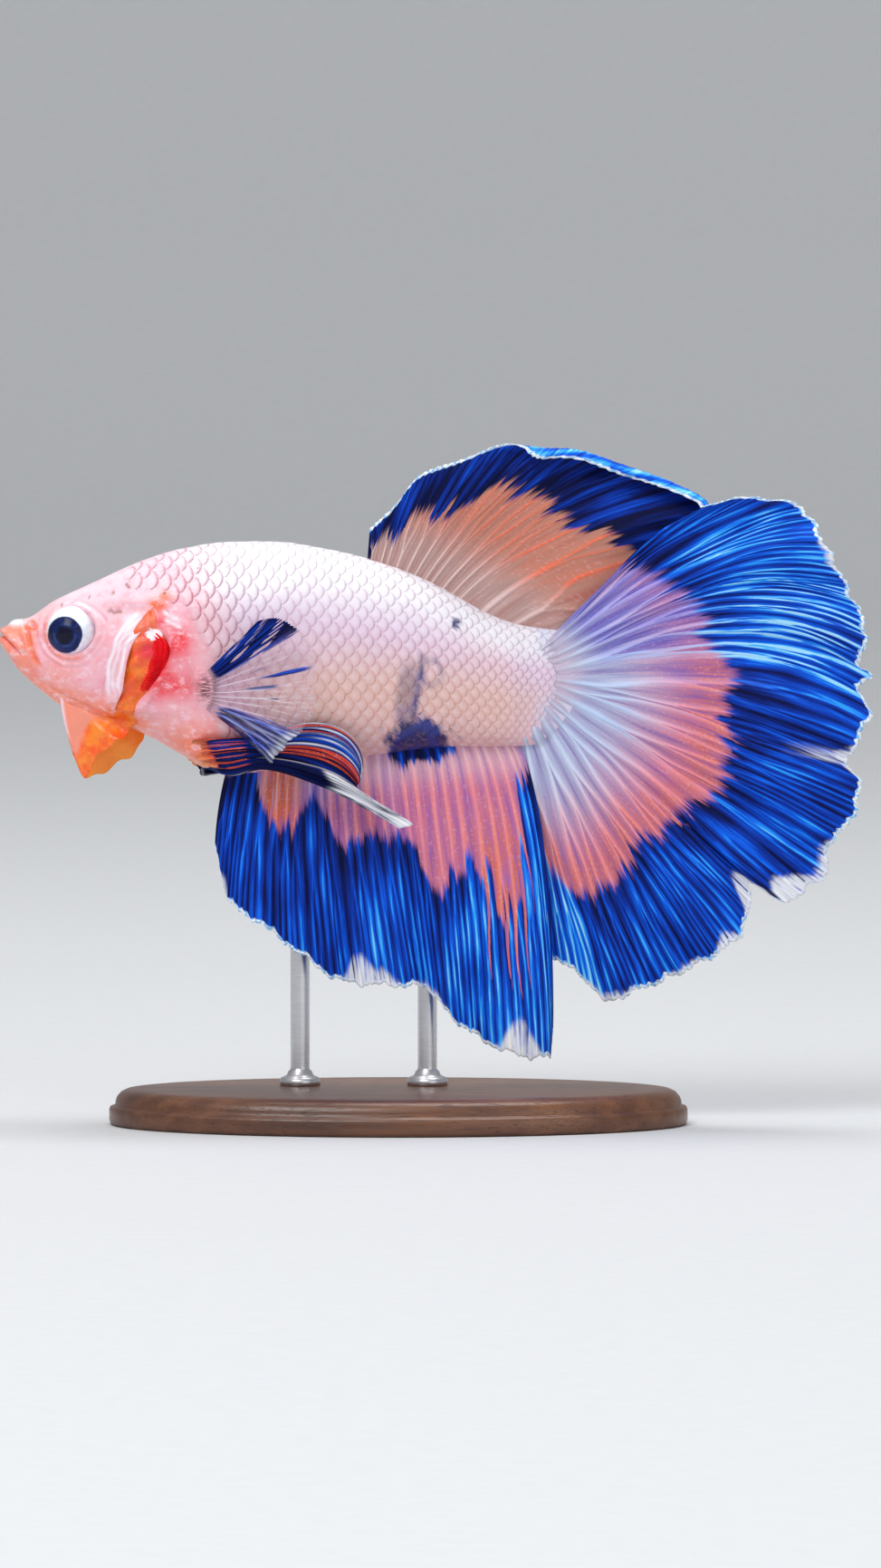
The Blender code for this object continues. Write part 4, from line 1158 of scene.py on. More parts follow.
FRECKLES = [
    [(-24.0, 42.5), (-23.7, 42.75), (-23.4, 42.5), (-23.0, 42.65), (-22.7, 42.5)],
    [(-22.5, 44.95), (-22.1, 44.5)], [(-23.6, 44.2), (-23.4, 44.1)],
    [(-27.9, 43.15), (-27.7, 43.1)], [(-25.6, 43.8), (-25.4, 43.75)],
]
MARK_LINE = [(1.95, 39.0), (1.75, 36.2), (1.1, 33.0)]  # the dark line through the left mark
MARK_EDGE = [(0.08, 3.1, 1.7), (0.07, 5.3, -4.1), (0.05, 11, 3)]  # (size, run, rise), ragged


def dot(x, z, middle, low, high, wide=1.0, tall=1.0):
    """1 in a dot of the side view and 0 outside it, with a soft edge from low to high."""
    return 1 - ease(low, high, np.hypot((x - middle[0]) / wide, (z - middle[1]) / tall))


def left_marks(x, z):
    """The left flank's navy mark with a grey smear, line and ring above it, and the dot behind."""
    ragged = sum(size * np.sin(run * x + rise * z) for size, run, rise in MARK_EDGE)
    navy = ease(0.24, 0.5, spots(x, z, MARK_SPOT) + ragged)
    smear = 0.5 * dot(x - 0.1 * (z - 36), z, (0.75, 35.6), 0.6, 1.15, 1.05, 3.3)
    ring = 0.4 * bump(np.hypot(x - 2.75, (z - 37.6) * 0.75), 0.8, 0.2)
    line = 0.55 * bump(to_line(x, z, MARK_LINE)[0], 0, 0.25)
    behind = 0.95 * dot(x, z, (4.8, 41.6), 0.26, 0.46, 1, 1.25)
    return np.maximum(np.maximum(navy, smear + line + ring), behind)


def right_marks(x, z):
    lower, upper = dot(x, z, (-4.5, 33.4), 0.6, 1.2, 1.3, 0.8), dot(x, z, (3.4, 38.6), 0.3, 0.7)
    return np.maximum(0.9 * lower, 0.8 * upper)


def markings(x, z, y_sign):
    """The colour zones of the flesh at points of the side view. y_sign is -1 on the left."""
    found = {zone: spots(x, z, rows) for zone, rows in SPOTS.items()}
    height = (z - mid_height(x)) / (BACK(x) - mid_height(x))
    # white: paler towards the top of the back and the top of the snout, partly the fish's pale
    # colour and partly painted highlight of the light from above
    white = ease(0.42, 0.9, height) * (0.35 + 0.65 * ease(-24, -16, x)) * (1 - 0.6 * ease(4, 11, x))
    found["white"] = np.maximum(white, 0.95 * ease(0.25, 0.75, height) * ease(-29.5, -27, x))
    found["lavender"] += ease(-0.35, 0.45, height) * ease(-18, -12, x) * (1 - 0.4 * ease(1, 9, x))
    found["lavender"] += 0.5 * ease(8, 12, x)
    shoulder = 1 - ease(-17.5, -11.5, x + 0.35 * (z - 40))
    found["rose"] += shoulder * (0.85 - 0.35 * ease(0.4, 1.0, height))
    found["rose"] += 0.25 * ease(-0.2, -0.9, height) * ease(-10, 0, x)
    salmon = ease(-29.3, -30.6, x) * ease(42.0, 41.0, z)
    salmon = salmon + ease(37.0, 34.9, z + 0.35 * (x + 26)) * ease(-18.4, -21.4, x)
    breast = 0.75 * ease(35.2, 32.0, z) * ease(-21.5, -19, x) * (1 - ease(-16, -13, x))
    found["salmon"] = np.maximum(np.maximum(salmon, spots(x, z, CHEEK_SPOT)), breast)
    throat = 1.3 * ease(0.5, -0.7, z - 34.6 + 0.45 * np.abs(x + 23.4))
    found["orange"] += throat * ease(-27.4, -26.2, x) * (1 - ease(-21.9, -21.2, x))
    lip, along = to_line(x, z, JAW_FOLD)
    found["orange"] += 0.75 * bump(lip, 0, 0.22) * within(along, 0.1, 0.8)
    found["orange"] += 0.8 * bump(from_nostril(x, z), 0.33, 0.12)
    before_eye = ease(0.5, 1.8, EYE_AT[0] - x + EYE_AT[1] - z)
    found["orange"] += 0.7 * before_eye * bump(from_eye(x, z), 2.2, 0.14)
    bone, along = to_line(x, z, CHEEK_RIDGE)
    bones = collar(x, z, 0.16)
    # The pale lines on the cheek's bony ridges are partly pale bone and partly painted highlight
    # along their crests.
    for at, size, wave in CHEEK_LINES:
        line = 7 * size * bump(cheek_fold(bone, z, at, wave), 0, 0.15)
        bones = bones + line * within(along, 0.08, 0.8)
    found["pale"] += bones
    found["navy"] = np.where(y_sign < 0, left_marks(x, z), right_marks(x, z))
    front = 1 - ease(-15, -9, x + 0.3 * (z - 42))
    found["lines"] = 0.34 + 0.36 * front - 0.32 * ease(0.15, -0.3, height) * ease(-14, -8, x)
    specks = (1 - ease(-14, -8, x)) * ease(0.15, 0.4, height)
    found["specks"] = specks + 0.35 * ease(0.3, 0.6, height)
    lines = [to_line(x, z, line) for line in FRECKLES]
    found["freckle"] = sum(bump(away, 0, 0.15) * within(along, 0.1, 0.9) for away, along in lines)
    run, rise = x - CAUDAL_HUB[0], z - CAUDAL_HUB[1]
    strands = ease(1.4, 3.2, np.hypot(run, rise)) * ease(10.8, 12.3, x)
    found["strands"] = strands * (0.6 + 0.4 * ease(0.1, 0.9, np.sin(26 * np.arctan2(rise, run))))
    return {key: np.clip(value, 0, 1) for key, value in found.items()}


def marks_at(points, middle_y):
    return markings(points[..., 0], points[..., 2], np.sign(points[..., 1] - middle_y))


print("zones:", ", ".join(sorted(marks_at(np.zeros((1, 3)), 0.0))))

# %% [markdown]
# The flesh's material lays the zones over one another with loose, cloudy edges, then adds
# what is finer than any mesh: blotches, veins, dots and a soft grain. One skin replaces all
# the solids of flesh, so no seam shows between them.

# %% Make the skin
FLESH_COATS = [  # (zone, looseness of its edge, colour), from the lowest up
    # the white coat is partly painted highlight on the back and the snout
    ("white", 0.35, tint(250, 244, 251)), ("rose", 0.5, tint(244, 180, 196)),
    ("salmon", 0.6, tint(250, 144, 118)), ("red", 0.7, tint(240, 52, 66)),
    ("orange", 0.6, tint(246, 108, 38)),
]
LAVENDERS = (tint(232, 180, 168), tint(236, 204, 228))
LINE_TINTS = (tint(188, 132, 158), tint(206, 88, 104))
BLUSH_TINT, VEIN_TINT, BONE_TINT = tint(240, 132, 148), tint(254, 228, 242), tint(254, 242, 252)
TUFT_TINT, FRECKLE_TINT, STRAND_TINT = tint(100, 62, 76), tint(150, 84, 84), tint(208, 212, 238)
DOT_TINT, GLOW_TINT = tint(132, 62, 72), tint(254, 244, 252)
NAVIES = (tint(16, 20, 84), tint(34, 46, 134))


def flesh(name, scale_rim):
    """The colour of the skin. Scales add a rosy line along their free edge."""
    finish = Finish(
        name, roughness=0.42, coat_weight=0.25, coat_roughness=0.22, subsurface_weight=0.12,
        subsurface_scale=0.0005, subsurface_radius=(1.0, 0.4, 0.3),
    )
    where = finish.place()
    cloud, grain = finish.noise(where, 1.6, 3), finish.noise(where, 0.28, 2)
    rose, freckle, strands, specks = finish.masks("rose freckle strands specks")

    def zone(key, loose):
        value = finish.masks(key)[0]
        wobble = (cloud + grain * 0.6 - 0.8) * loose
        return (value + wobble * (value * 1.6).clipped()).clipped()

    colour = finish.mix(zone("lavender", 0.35), *LAVENDERS)
    colour = finish.layers(colour, *((zone(key, loose), over) for key, loose, over in FLESH_COATS))
    veins = finish.noise(where.stretched(1.1, 1.1, 1.7), 1.0, 4, 0.7)
    tuft = finish.noise(where.stretched(0.7, 0.7, 4.0), 0.5, 3)
    given = {"Vector": where, "Scale": 0.62}
    far = finish.node("ShaderNodeTexVoronoi", given, "Distance", feature="F1")
    colour = finish.layers(
        colour,
        (finish.noise(where, 0.8, 3, 0.6).step(0.5, 0.64) * rose * 0.35, BLUSH_TINT),
        (veins.step(0.48, 0.7) * rose * 0.6, VEIN_TINT),
        (zone("pale", 0.3), BONE_TINT),
        (tuft.step(0.4, 0.5) * zone("brown", 1.0), TUFT_TINT),
        (freckle * 0.8, FRECKLE_TINT),
        (strands * 0.9, STRAND_TINT),
        (far.step(0.1, 0.06) * specks * cloud.step(0.45, 0.55) * 0.8, DOT_TINT),
    )
    if scale_rim:
        rim, lines, heart = finish.masks("rim lines heart")
        line = rim * lines * grain.step(0.3, 0.55, 0.55, 1.0)
        line_tint = finish.mix(rose, *LINE_TINTS)
        colour = finish.layers(colour, (line, line_tint), (heart * 0.3, GLOW_TINT))
    colour = finish.mix(zone("navy", 0.5), colour, finish.mix(cloud.step(0.4, 0.62), *NAVIES))
    finish.set("Base Color", colour)
    finish.relief(grain * 0.7 + cloud * 0.6, 0.05)
    return finish.material


faces, corners = grid_quads(rings, SKIN_COLUMNS, wrap=True)
ends = np.array([skin_grid[0].mean(axis=0), skin_grid[-1].mean(axis=0)])
last_ring, first_end = (rings - 1) * SKIN_COLUMNS, rings * SKIN_COLUMNS
caps, cap_corners = [], []
for i in range(SKIN_COLUMNS):
    j = (i + 1) % SKIN_COLUMNS
    caps += [[first_end, j, i], [first_end + 1, last_ring + i, last_ring + j]]
    cap_corners += [(0, i), (0, i + 1), (0, i), (rings - 1, i), (rings - 1, i), (rings - 1, i + 1)]
patch = np.concatenate([corners.reshape(-1, 2), np.array(cap_corners, float)])
patch_run = unwrap_run[patch[:, 0].astype(int)] * (1 - 2 * MAP_MARGIN) + MAP_MARGIN
patch = np.stack([patch_run, patch[:, 1] / SKIN_COLUMNS], axis=1)
skin_points = np.concatenate([skin_grid.reshape(-1, 3), ends])
skin_marks = marks_at(skin_points, SWAY(skin_points[:, 0]))
skin_faces, skin_finish = faces.tolist() + caps, flesh("flesh_skin", False)
skin = build("skin", skin_points, skin_faces, skin_finish, skin_marks, patch)
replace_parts(skin, "head", "trunk", "tail_base", "gill_cover_left", "gill_cover_right")

# %% [markdown]
# A betta's scales overlap like roof tiles, each with its free edge towards the tail. They lie
# in staggered rows that follow the body, so first the body is measured: `on_skin` answers
# where the skin is at a distance along the body and up its flank.

# %% Where the scales go
SCALE_RUN, SCALE_RISE = 1.2, 0.78
SCALE_FRONT = smooth([  # (z, x) where the scales start behind the head
    (28.5, -14.2), (32, -14.9), (35, -15.2), (38, -15.6), (39.9, -16), (41.4, -16.8), (42.5, -17.5),
    (44, -18.7), (44.8, -20.5), (45.6, -23.5), (46.5, -25),
])
SCALE_REAR = smooth([
    (30.5, 10.4), (31.65, 11.3), (33.15, 11.6), (35.0, 12.5), (37.3, 13.6), (39.75, 13.4),
    (41.4, 11.4),
])
SCALE_SIZE = smooth([  # (x, length, height) of a scale, as shares of the two sizes above
    (-26, 0.95, 1.3), (-15, 1.0, 1.25), (-6, 0.96, 1.0), (2, 0.92, 0.92), (10, 0.66, 0.66),
    (15, 0.5, 0.5),
])
FIRST_PLACE = -4.0  # from here back, the rows come closer together as the scales get smaller
scale_spots = [FIRST_PLACE]
while scale_spots[-1] < TAIL_END_X:
    scale_spots.append(scale_spots[-1] + SCALE_RUN * float(SCALE_SIZE(scale_spots[-1])[0]))
ahead = [(i, FIRST_PLACE + i * SCALE_RUN) for i in range(-24, 0)]
SCALE_PLACES = smooth(ahead + list(enumerate(scale_spots)))
quarter = SKIN_COLUMNS // 4
arc = np.zeros((rings, 2 * quarter + 1))
steps = np.linalg.norm(np.diff(smooth_body[:, : 2 * quarter + 1], axis=1), axis=-1)
arc[:, 1:] = np.cumsum(steps, axis=1)
arc = arc[:, quarter : quarter + 1] - arc  # upwards from the middle of the flank


def on_skin(grid, x, rise, side):
    """A grid's values at distances along the body and up its flank."""
    row = np.interp(x, ring_places, np.arange(rings))
    low = np.clip(row.astype(int), 0, rings - 2)
    column = np.empty(row.shape)
    for i in np.unique(low):
        here = low == i
        column[here] = np.interp(rise[here], arc[i, ::-1], np.arange(2 * quarter, -1, -1))
    column = column if side < 0 else SKIN_COLUMNS - column
    left = np.floor(column).astype(int)
    u, v = (row - low)[..., None], (column - left)[..., None]
    at = [(low + i, (left + j) % SKIN_COLUMNS) for i in (0, 1) for j in (0, 1)]
    a, b, c, d = (grid[i, j] for i, j in at)
    return (a * (1 - v) + b * v) * (1 - u) + (c * (1 - v) + d * v) * u


def scale_roots(side, dice):
    """One side's scales as rows of (x, distance up the flank, length share, height share)."""
    roots = []
    for j in range(-18, 19):
        for i in range(-24, 40):
            x = float(SCALE_PLACES(i + 0.5 * (j % 2)))
            size, tall = SCALE_SIZE(x)
            station = int(np.clip(np.searchsorted(ring_places, x), 0, rings - 1))
            rise = j * SCALE_RISE * tall
            if arc[station, -1] + 0.35 < rise < arc[station, 0] - 0.45:
                x, rise = x + dice.uniform(-0.05, 0.05), rise + dice.uniform(-0.03, 0.03)
                roots.append((x, rise, size, tall))
    roots = np.array(roots)
    z = on_skin(skin_grid, roots[:, 0], roots[:, 1], side)[:, 2]
    return roots[(roots[:, 0] > SCALE_FRONT(z) - 0.1) & (roots[:, 0] < SCALE_REAR(z))]


print("along the body there is room for", len(ahead) + len(scale_spots), "scales")

# %% [markdown]
# One scale is a small thin shield; the rest are copies. An instancing modifier could do this,
# but placing the points straight onto the skin's grid bends every scale to the body and lets
# it carry the same colour zones as the skin under it.

# %% Lay the scales
SCALE_STEPS, SCALE_COLUMNS = (0, 0.35, 0.65, 0.84, 0.93, 1.0), 7
SCALE_THICK, PATCH_SIZE = 0.03, 0.003


def lay_scales(side, name, finish):
    """All scales of one side as a single mesh."""
    dice = np.random.default_rng(40 + side)
    roots = scale_roots(side, dice)
    count, per = len(roots), len(SCALE_STEPS) * SCALE_COLUMNS
    root_x, root_rise, size, tall = roots.T
    size = size * dice.uniform(0.95, 1.05, count)
    length, half = 1.5 * SCALE_RUN * size, 1.08 * SCALE_RISE * tall
    u, v = np.meshgrid(np.array(SCALE_STEPS), np.linspace(-1, 1, SCALE_COLUMNS), indexing="ij")
    reach = u * (1 - 0.42 * np.abs(v) ** 2.7)
    x = root_x[:, None, None] + (reach - 0.45) * length[:, None, None]
    rise = root_rise[:, None, None] + v * half[:, None, None] * (1.1 - 0.12 * reach**2)
    place, out = on_skin(skin_grid, x, rise, side), on_skin(skin_away, x, rise, side)
    out = out / np.linalg.norm(out, axis=-1, keepdims=True)
    arched = 0.03 * (1 - v**2) * np.sin(math.pi * np.clip(reach, 0, 1))
    lift = 0.095 * reach + arched - 0.02 * v**2 - 0.05
    lift = (lift[None] * (0.4 + 0.6 * size[:, None, None]))[..., None]
    layers = [(place + out * deep).reshape(count, per, 3) for deep in (lift, lift - SCALE_THICK)]
    points = np.concatenate(layers, axis=1)
    one = np.concatenate(sheet_quads(len(SCALE_STEPS), SCALE_COLUMNS))
    one = one[:, ::-1] if side < 0 else one
    faces = (one[None] + (np.arange(count) * 2 * per)[:, None, None]).reshape(-1, 4)
    unit = np.stack([u, 0.5 + 0.5 * v], axis=-1).reshape(-1, 2)
    local = np.concatenate([unit, unit])[one]
    run = np.interp(root_x, ring_places, unwrap_run) * (1 - 2 * MAP_MARGIN) + MAP_MARGIN
    up = 0.25 - root_rise / 60
    middle = np.stack([run, up if side < 0 else 1 - up], axis=1)
    values = marks_at(points, SWAY(points[..., 0]))
    edge = np.maximum(ease(0.84, 0.93, u), ease(0.85, 1.0, np.abs(v)) * ease(0.3, 0.6, u))
    heart = spots(u, v, [(0.68, 0.0, 0.16, 0.45, 1)])
    for key, mask in (("rim", edge), ("heart", heart)):
        values[key] = np.broadcast_to(np.tile(mask.ravel(), 2), (count, 2 * per))
    patch = middle[:, None, None, :] + (local[None] - 0.5) * PATCH_SIZE
    piece = build(name, points.reshape(-1, 3), faces, finish, values, patch)


scale_finish = flesh("flesh_scales", True)
for side, word in SIDES:
    lay_scales(side, "scales_" + word, scale_finish)

# %% [markdown]
# The eye is a ball whose clear front bulges a little. The pupil and the dark iris sit under a
# wet, glassy surface, inside a pale silvery ring. As a turned shape its rings become iris
# markings, and it looks slightly forwards and down.

# %% Make the eyes
EYE_DEPTH, CORNEA = 1.5, 0.22
EYE_ROWS, EYE_COLUMNS = 40, 72
PUPIL_AT = (-0.54, -0.26)
PUPIL_TINT, EYE_RING_TINT = tint(4, 8, 36), tint(48, 84, 160)
IRISES = (tint(6, 14, 56), tint(16, 38, 100))
EYE_WHITES = (tint(222, 234, 250), tint(255, 255, 255))


def eye_finish():
    finish = Finish(
        "eye_glass", roughness=0.35, specular_ior_level=0.15, coat_weight=0.3, coat_roughness=0.03,
        coat_ior=1.33,
    )
    out, turn = finish.masks("from_pupil round_eye")
    fibre = finish.noise(finish.node("ShaderNodeCombineXYZ", (turn * 14, out * 1.2)), 1.0, 3)
    cloud = finish.noise(finish.place(), 0.9, 2)
    edge = out + cloud * 0.22 - 0.11
    ring = edge.step(0.78, 0.92) * edge.step(1.12, 0.98) * cloud.step(0.42, 0.6, 0.05, 0.4)
    colour = finish.layers(
        PUPIL_TINT,
        (edge.step(0.56, 0.88), finish.mix(fibre.step(0.35, 0.7), *IRISES)),
        (ring, EYE_RING_TINT),
        (edge.step(1.46, 1.6), finish.mix(fibre.step(0.3, 0.75), *EYE_WHITES)),
    )
    finish.set("Base Color", colour)
    finish.relief(fibre, 0.01)
    return finish.material


def make_eye(side, name, finish):
    down, turn = np.linspace(0.01, math.pi - 0.01, EYE_ROWS), np.arange(EYE_COLUMNS) / EYE_COLUMNS
    down, turn = np.meshgrid(down, turn, indexing="ij")
    out = EYE_RADIUS * np.sin(down)
    depth = EYE_DEPTH * np.cos(down) + CORNEA * bump(out, 0, 1.3) * (down < 1.5)
    x, z = out * np.cos(TAU * turn), out * np.sin(TAU * turn)
    y = SWAY(EYE_AT[0]) + side * (EYE_OUT + depth)
    from_pupil = np.hypot(1.05 * (x - PUPIL_AT[0]), z - PUPIL_AT[1]) + 3 * (down > 1.5)
    points = np.stack([EYE_AT[0] + x, y, EYE_AT[1] + z], axis=-1)
    faces, corners = (part[:, ::-side] for part in grid_quads(EYE_ROWS, EYE_COLUMNS, wrap=True))
    patch = corners / np.array([EYE_ROWS - 1, EYE_COLUMNS]) * (1 - 2 * MAP_MARGIN) + MAP_MARGIN
    values = {"from_pupil": from_pupil, "round_eye": turn}
    piece = build(name, points.reshape(-1, 3), faces, finish, values, patch)
    return piece


glass = eye_finish()
for side, word in SIDES:
    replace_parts(make_eye(side, "eyeball_" + word, glass), "eye_" + word)

# %% [markdown]
# Behind the gill cover an orange membrane hangs like a beard below the throat, held out by
# thin curved bones. The membrane is a sheet between a held edge and a free edge, and the two
# sides hang differently.

# %% The gill membranes' shape and colour
COVER_BAND = [  # (place, held x and z, free x and z)
    (0, -20.6, 42.7, -20.2, 42.9), (0.1, -21.4, 41.6, -19.7, 41.4),
    (0.2, -22.1, 40.4, -19.2, 40.2), (0.3, -22.5, 39.0, -19.6, 39.0),
    (0.4, -22.8, 37.6, -20.25, 37.5), (0.5, -23.1, 36.2, -20.7, 36.0),
]
NEAR_BEARD = [
    (0.6, -23.4, 35.0, -21.2, 34.7), (0.7, -24.0, 34.2, -21.6, 33.5),
    (0.78, -24.6, 33.8, -22.4, 32.5), (0.86, -25.4, 33.6, -23.6, 31.6),
    (0.92, -26.2, 33.6, -24.8, 30.8), (0.97, -27.3, 34.2, -25.9, 28.9),
    (1, -28.0, 34.8, -26.7, 30.4),
]
FAR_BEARD = [
    (0.6, -22.8, 34.8, -20.95, 34.5), (0.7, -23.2, 33.6, -21.1, 32.3),
    (0.78, -24.2, 33.4, -22.0, 30.6), (0.86, -25.2, 33.4, -23.6, 29.7),
    (0.92, -26.0, 33.6, -24.9, 28.85), (0.97, -27.2, 34.2, -25.9, 28.7),
    (1, -28.0, 34.8, -26.6, 30.4),
]
MEMBRANES = {-1: smooth(COVER_BAND + NEAR_BEARD), 1: smooth(COVER_BAND + FAR_BEARD)}
BEARD_OUT = 1.7  # how far the beard hangs from the body's middle plane
WRINKLES = [(0.07, 9, 0.8), (0.05, 3, -2.2)]  # (size, count, slant)
# The deep spots redden the membrane deep in the gill chamber: partly the red of the gills, partly
# painted shade.
MEMBRANE_DEEP = [(-20.4, 39.4, 1.1, 0.9, 1.2), (-20.9, 41.3, 0.6, 1.1, 0.5)]
# The second spot list here is painted shade: a darker orange on the band just behind the gill
# cover's edge.
MEMBRANE_PATCH, MEMBRANE_PAINTED_SHADE = [(-20.1, 40.8, 0.75, 0.5, 1.3)], [(-21.9, 36.6, 0.7, 1.0, 1)]
MEMBRANE_COATS = [  # (mask, strength, colour), from the lowest up
    # far is painted light: the far beard hangs in the near one's shade, and its orange is painted
    # brighter and yellower.
    ("ray", 0.35, tint(236, 84, 40)), ("far", 1, tint(255, 150, 30)),
    # Next, a darker orange painted as shade just behind the gill cover's edge, and red deep in the
    # gill chamber, partly the gills' colour and partly painted shade.
    ("rust", 0.45, tint(226, 70, 20)), ("deep", 1, tint(238, 44, 62)),
    ("pink", 1, tint(242, 148, 124)), ("lace", 1, tint(250, 222, 234)),
]
MEMBRANE_TINTS, GRAIN_TINT = (tint(252, 88, 12), tint(255, 136, 22)), tint(250, 176, 110)
FLAKE_TINT = tint(252, 240, 248)


def underside(x, out):
    """Height of the body's lower surface at a distance from its middle plane."""
    middle = mid_height(x)
    share = np.clip(np.abs(out) / (HALF_WIDTH(x) * closing(x)), 0, 0.98)
    return middle - (middle - BELLY(x)) * (1 - share**ROUNDNESS) ** (1 / ROUNDNESS)


def membrane(side):
    """A gill membrane: a band under the gill cover's edge that widens into the hanging beard."""

    def place(along, across):
        held_x, held_z, free_x, free_z = MEMBRANES[side](across)
        beard = ease(0.62, 0.76, across)
        held_z = held_z * (1 - beard) + beard * (underside(held_x, BEARD_OUT) + 0.4)
        x, z = bowed((held_x, held_z), (free_x, free_z), along, -0.2 * ease(0.7, 0.9, across))
        z = z + 0.14 * np.sin(TAU * 11 * across) * ease(0.75, 1, along) * ease(0.6, 0.75, across)
        surface = flank(x, np.maximum(z, BELLY(x) + 0.6))
        puffed = 0.55 * np.sin(math.pi * np.clip(0.25 + 0.8 * along, 0, 1)) - 0.25
        puffed = puffed + 0.35 * ease(36.0, 34.6, held_z)
        band = surface + puffed * ease(0, 0.12, across)
        hanging = BEARD_OUT + 0.5 * along + along**1.3 * 0.35 * np.sin(TAU * 5 * across)
        out = band * (1 - beard) + hanging * beard
        for size, waves, slant in WRINKLES:
            out = out + size * np.sin(TAU * (waves * across + slant * along))
        return x, SWAY(x) + side * out, z

    return place


def membrane_masks(along, across, rib, hue, reach, middle):
    x, z = middle[..., 0], middle[..., 2]
    held, front = ease(0.72, 0.9, across) * (1 - ease(0.15, 0.5, along)), ease(0.955, 0.985, across)
    pink = 0.9 * held + 0.85 * front * ease(0.9, 0.6, along) + 0.4 * ease(40.7, 41.5, z)
    slant = ease(0.3, -0.3, x + 25.4 - 0.345 * (z - 34.1))
    return {
        # the far beard, painted brighter and yellower against the near one's shade
        "far": ease(-0.5, 0.5, middle[..., 1] - SWAY(x)) * ease(0.6, 0.8, across),
        # redder deep in the gill chamber, partly the gills' red and partly painted shade
        "deep": spots(x, z, MEMBRANE_DEEP),
        "pink": pink + 0.95 * slant * ease(30.8, 31.2, z) * ease(0.5, 0.7, across),
        "patch": spots(x, z, MEMBRANE_PATCH),
        "lace": 0.75 * ease(0.984, 0.996, across) * ease(0.75, 0.5, along),
        # painted shade on the band just behind the gill cover's edge
        "rust": spots(x, z, MEMBRANE_PAINTED_SHADE),
    }


def membrane_finish():
    finish = Finish(
        "gill_membrane_skin", roughness=0.4, coat_weight=0.15, coat_roughness=0.2,
        subsurface_weight=0.12, subsurface_scale=0.0005,
    )
    where = finish.place()
    cloud, grain = finish.noise(where, 1.1, 3), finish.noise(where, 0.25, 2)
    colour = finish.mix(cloud.step(0.35, 0.68), *MEMBRANE_TINTS)
    colour = finish.mix(grain.step(0.45, 0.7) * 0.25, colour, GRAIN_TINT)
    coats = ((finish.masks(key)[0] * size, over) for key, size, over in MEMBRANE_COATS)
    colour = finish.layers(colour, *coats)
    flake = finish.noise(where.stretched(1, 1, 2.5), 0.5, 3) * 1.4 + finish.masks("patch")[0]
    finish.set("Base Color", finish.mix(flake.step(1.12, 1.3), colour, FLAKE_TINT))
    finish.relief(grain * 0.5 + cloud, 0.08)
    return finish.material


print("the beard hangs down to z =", float(MEMBRANES[1](0.97)[3]), "mm")

# %% [markdown]
# The red gill shows in the opening behind the cover. It is a comb of many fine leaves on bony
# arches, and like the membrane it is soft, wet and a little see-through.

# %% Make the gill membranes and gills
GILL_ARCH = smooth([(0, -20.6, 40.9), (0.3, -20.0, 39.9), (0.6, -20.2, 38.4), (1, -20.9, 36.2)])
ARCHES, LEAVES, LEAF_STEPS = 3, 34, 6
GILL_REDS, ARCH_TINT = (tint(250, 0, 16), tint(255, 6, 34)), tint(236, 120, 110)


def gill_finish():
    finish = Finish(
        "gill_filaments", roughness=0.35, specular_ior_level=0.2, coat_weight=0.15,
        coat_roughness=0.15, subsurface_weight=0.2, subsurface_scale=0.0004,
    )
    cloud = finish.noise(finish.place(), 0.4, 2)
    colour = finish.mix(cloud.step(0.35, 0.65), *GILL_REDS)
    finish.set("Base Color", finish.mix(finish.masks("arch")[0], colour, ARCH_TINT))
    finish.relief(cloud, 0.04)
    return finish.material


def make_gill(side, name, finish):
    """Bony arches, one behind another, each with a comb of flat leaves."""
    at = np.linspace(0.02, 0.98, LEAVES)
    arch, share = np.arange(ARCHES)[:, None, None], np.linspace(0, 1, LEAF_STEPS)
    hold_x, hold_z = (part[None, :, None] for part in GILL_ARCH(at))
    at = at[None, :, None]
    reach = (1.15 - 0.2 * arch) * np.sin(math.pi * (0.12 + 0.76 * at))
    lean = np.radians(-8 - 30 * (at - 0.5))
    x = hold_x - 0.45 + 0.5 * arch + reach * share * np.cos(lean)
    z = hold_z + reach * share * np.sin(lean) - 0.12 * share**2
    deep = flank(x, z) - 0.2 * CHAMBER(z) + 0.1 - 0.1 * arch + 0.2 * np.sin(math.pi * share)
    half_z, bulge, flat = 0.075 * (1 - 0.8 * share**3), 0.09 * (1 - share**2) + 0.02, 0 * share
    ups = np.stack([-half_z, flat, half_z, flat], axis=-1)
    outs = np.stack([flat, bulge, flat, flat - 0.12], axis=-1)
    x, z, deep = x[..., None], z[..., None] + ups, deep[..., None] + outs
    points = np.stack(np.broadcast_arrays(x, SWAY(x) + side * deep, z), axis=-1).reshape(-1, 3)
    tip = 4 * (LEAF_STEPS - 1) + np.arange(4)
    leaf = np.concatenate([grid_quads(LEAF_STEPS, 4, wrap=True)[0], [[0, 3, 2, 1], tip]])
    starts = np.arange(ARCHES * LEAVES) * 4 * LEAF_STEPS
    faces = (leaf[None] + starts[:, None, None]).reshape(-1, 4)
    faces = faces[:, ::-1] if side > 0 else faces
    corner = np.broadcast_arrays(0.05 + 0.9 * (arch + 0.5 * at) / ARCHES, 0.1 + 0.8 * at)
    corner = np.stack(corner, axis=-1)
    square = np.array([(0, 0), (1, 0), (1, 1), (0, 1)]) * PATCH_SIZE
    patch = corner.reshape(-1, 1, 1, 2) + np.broadcast_to(square, (len(leaf), 4, 2))
    bone = (1 - np.clip(share * 6, 0, 1))[:, None]
    bone = np.broadcast_to(bone, (ARCHES * LEAVES, LEAF_STEPS, 4))
    return build(name, points, faces, finish, {"arch": bone}, patch)


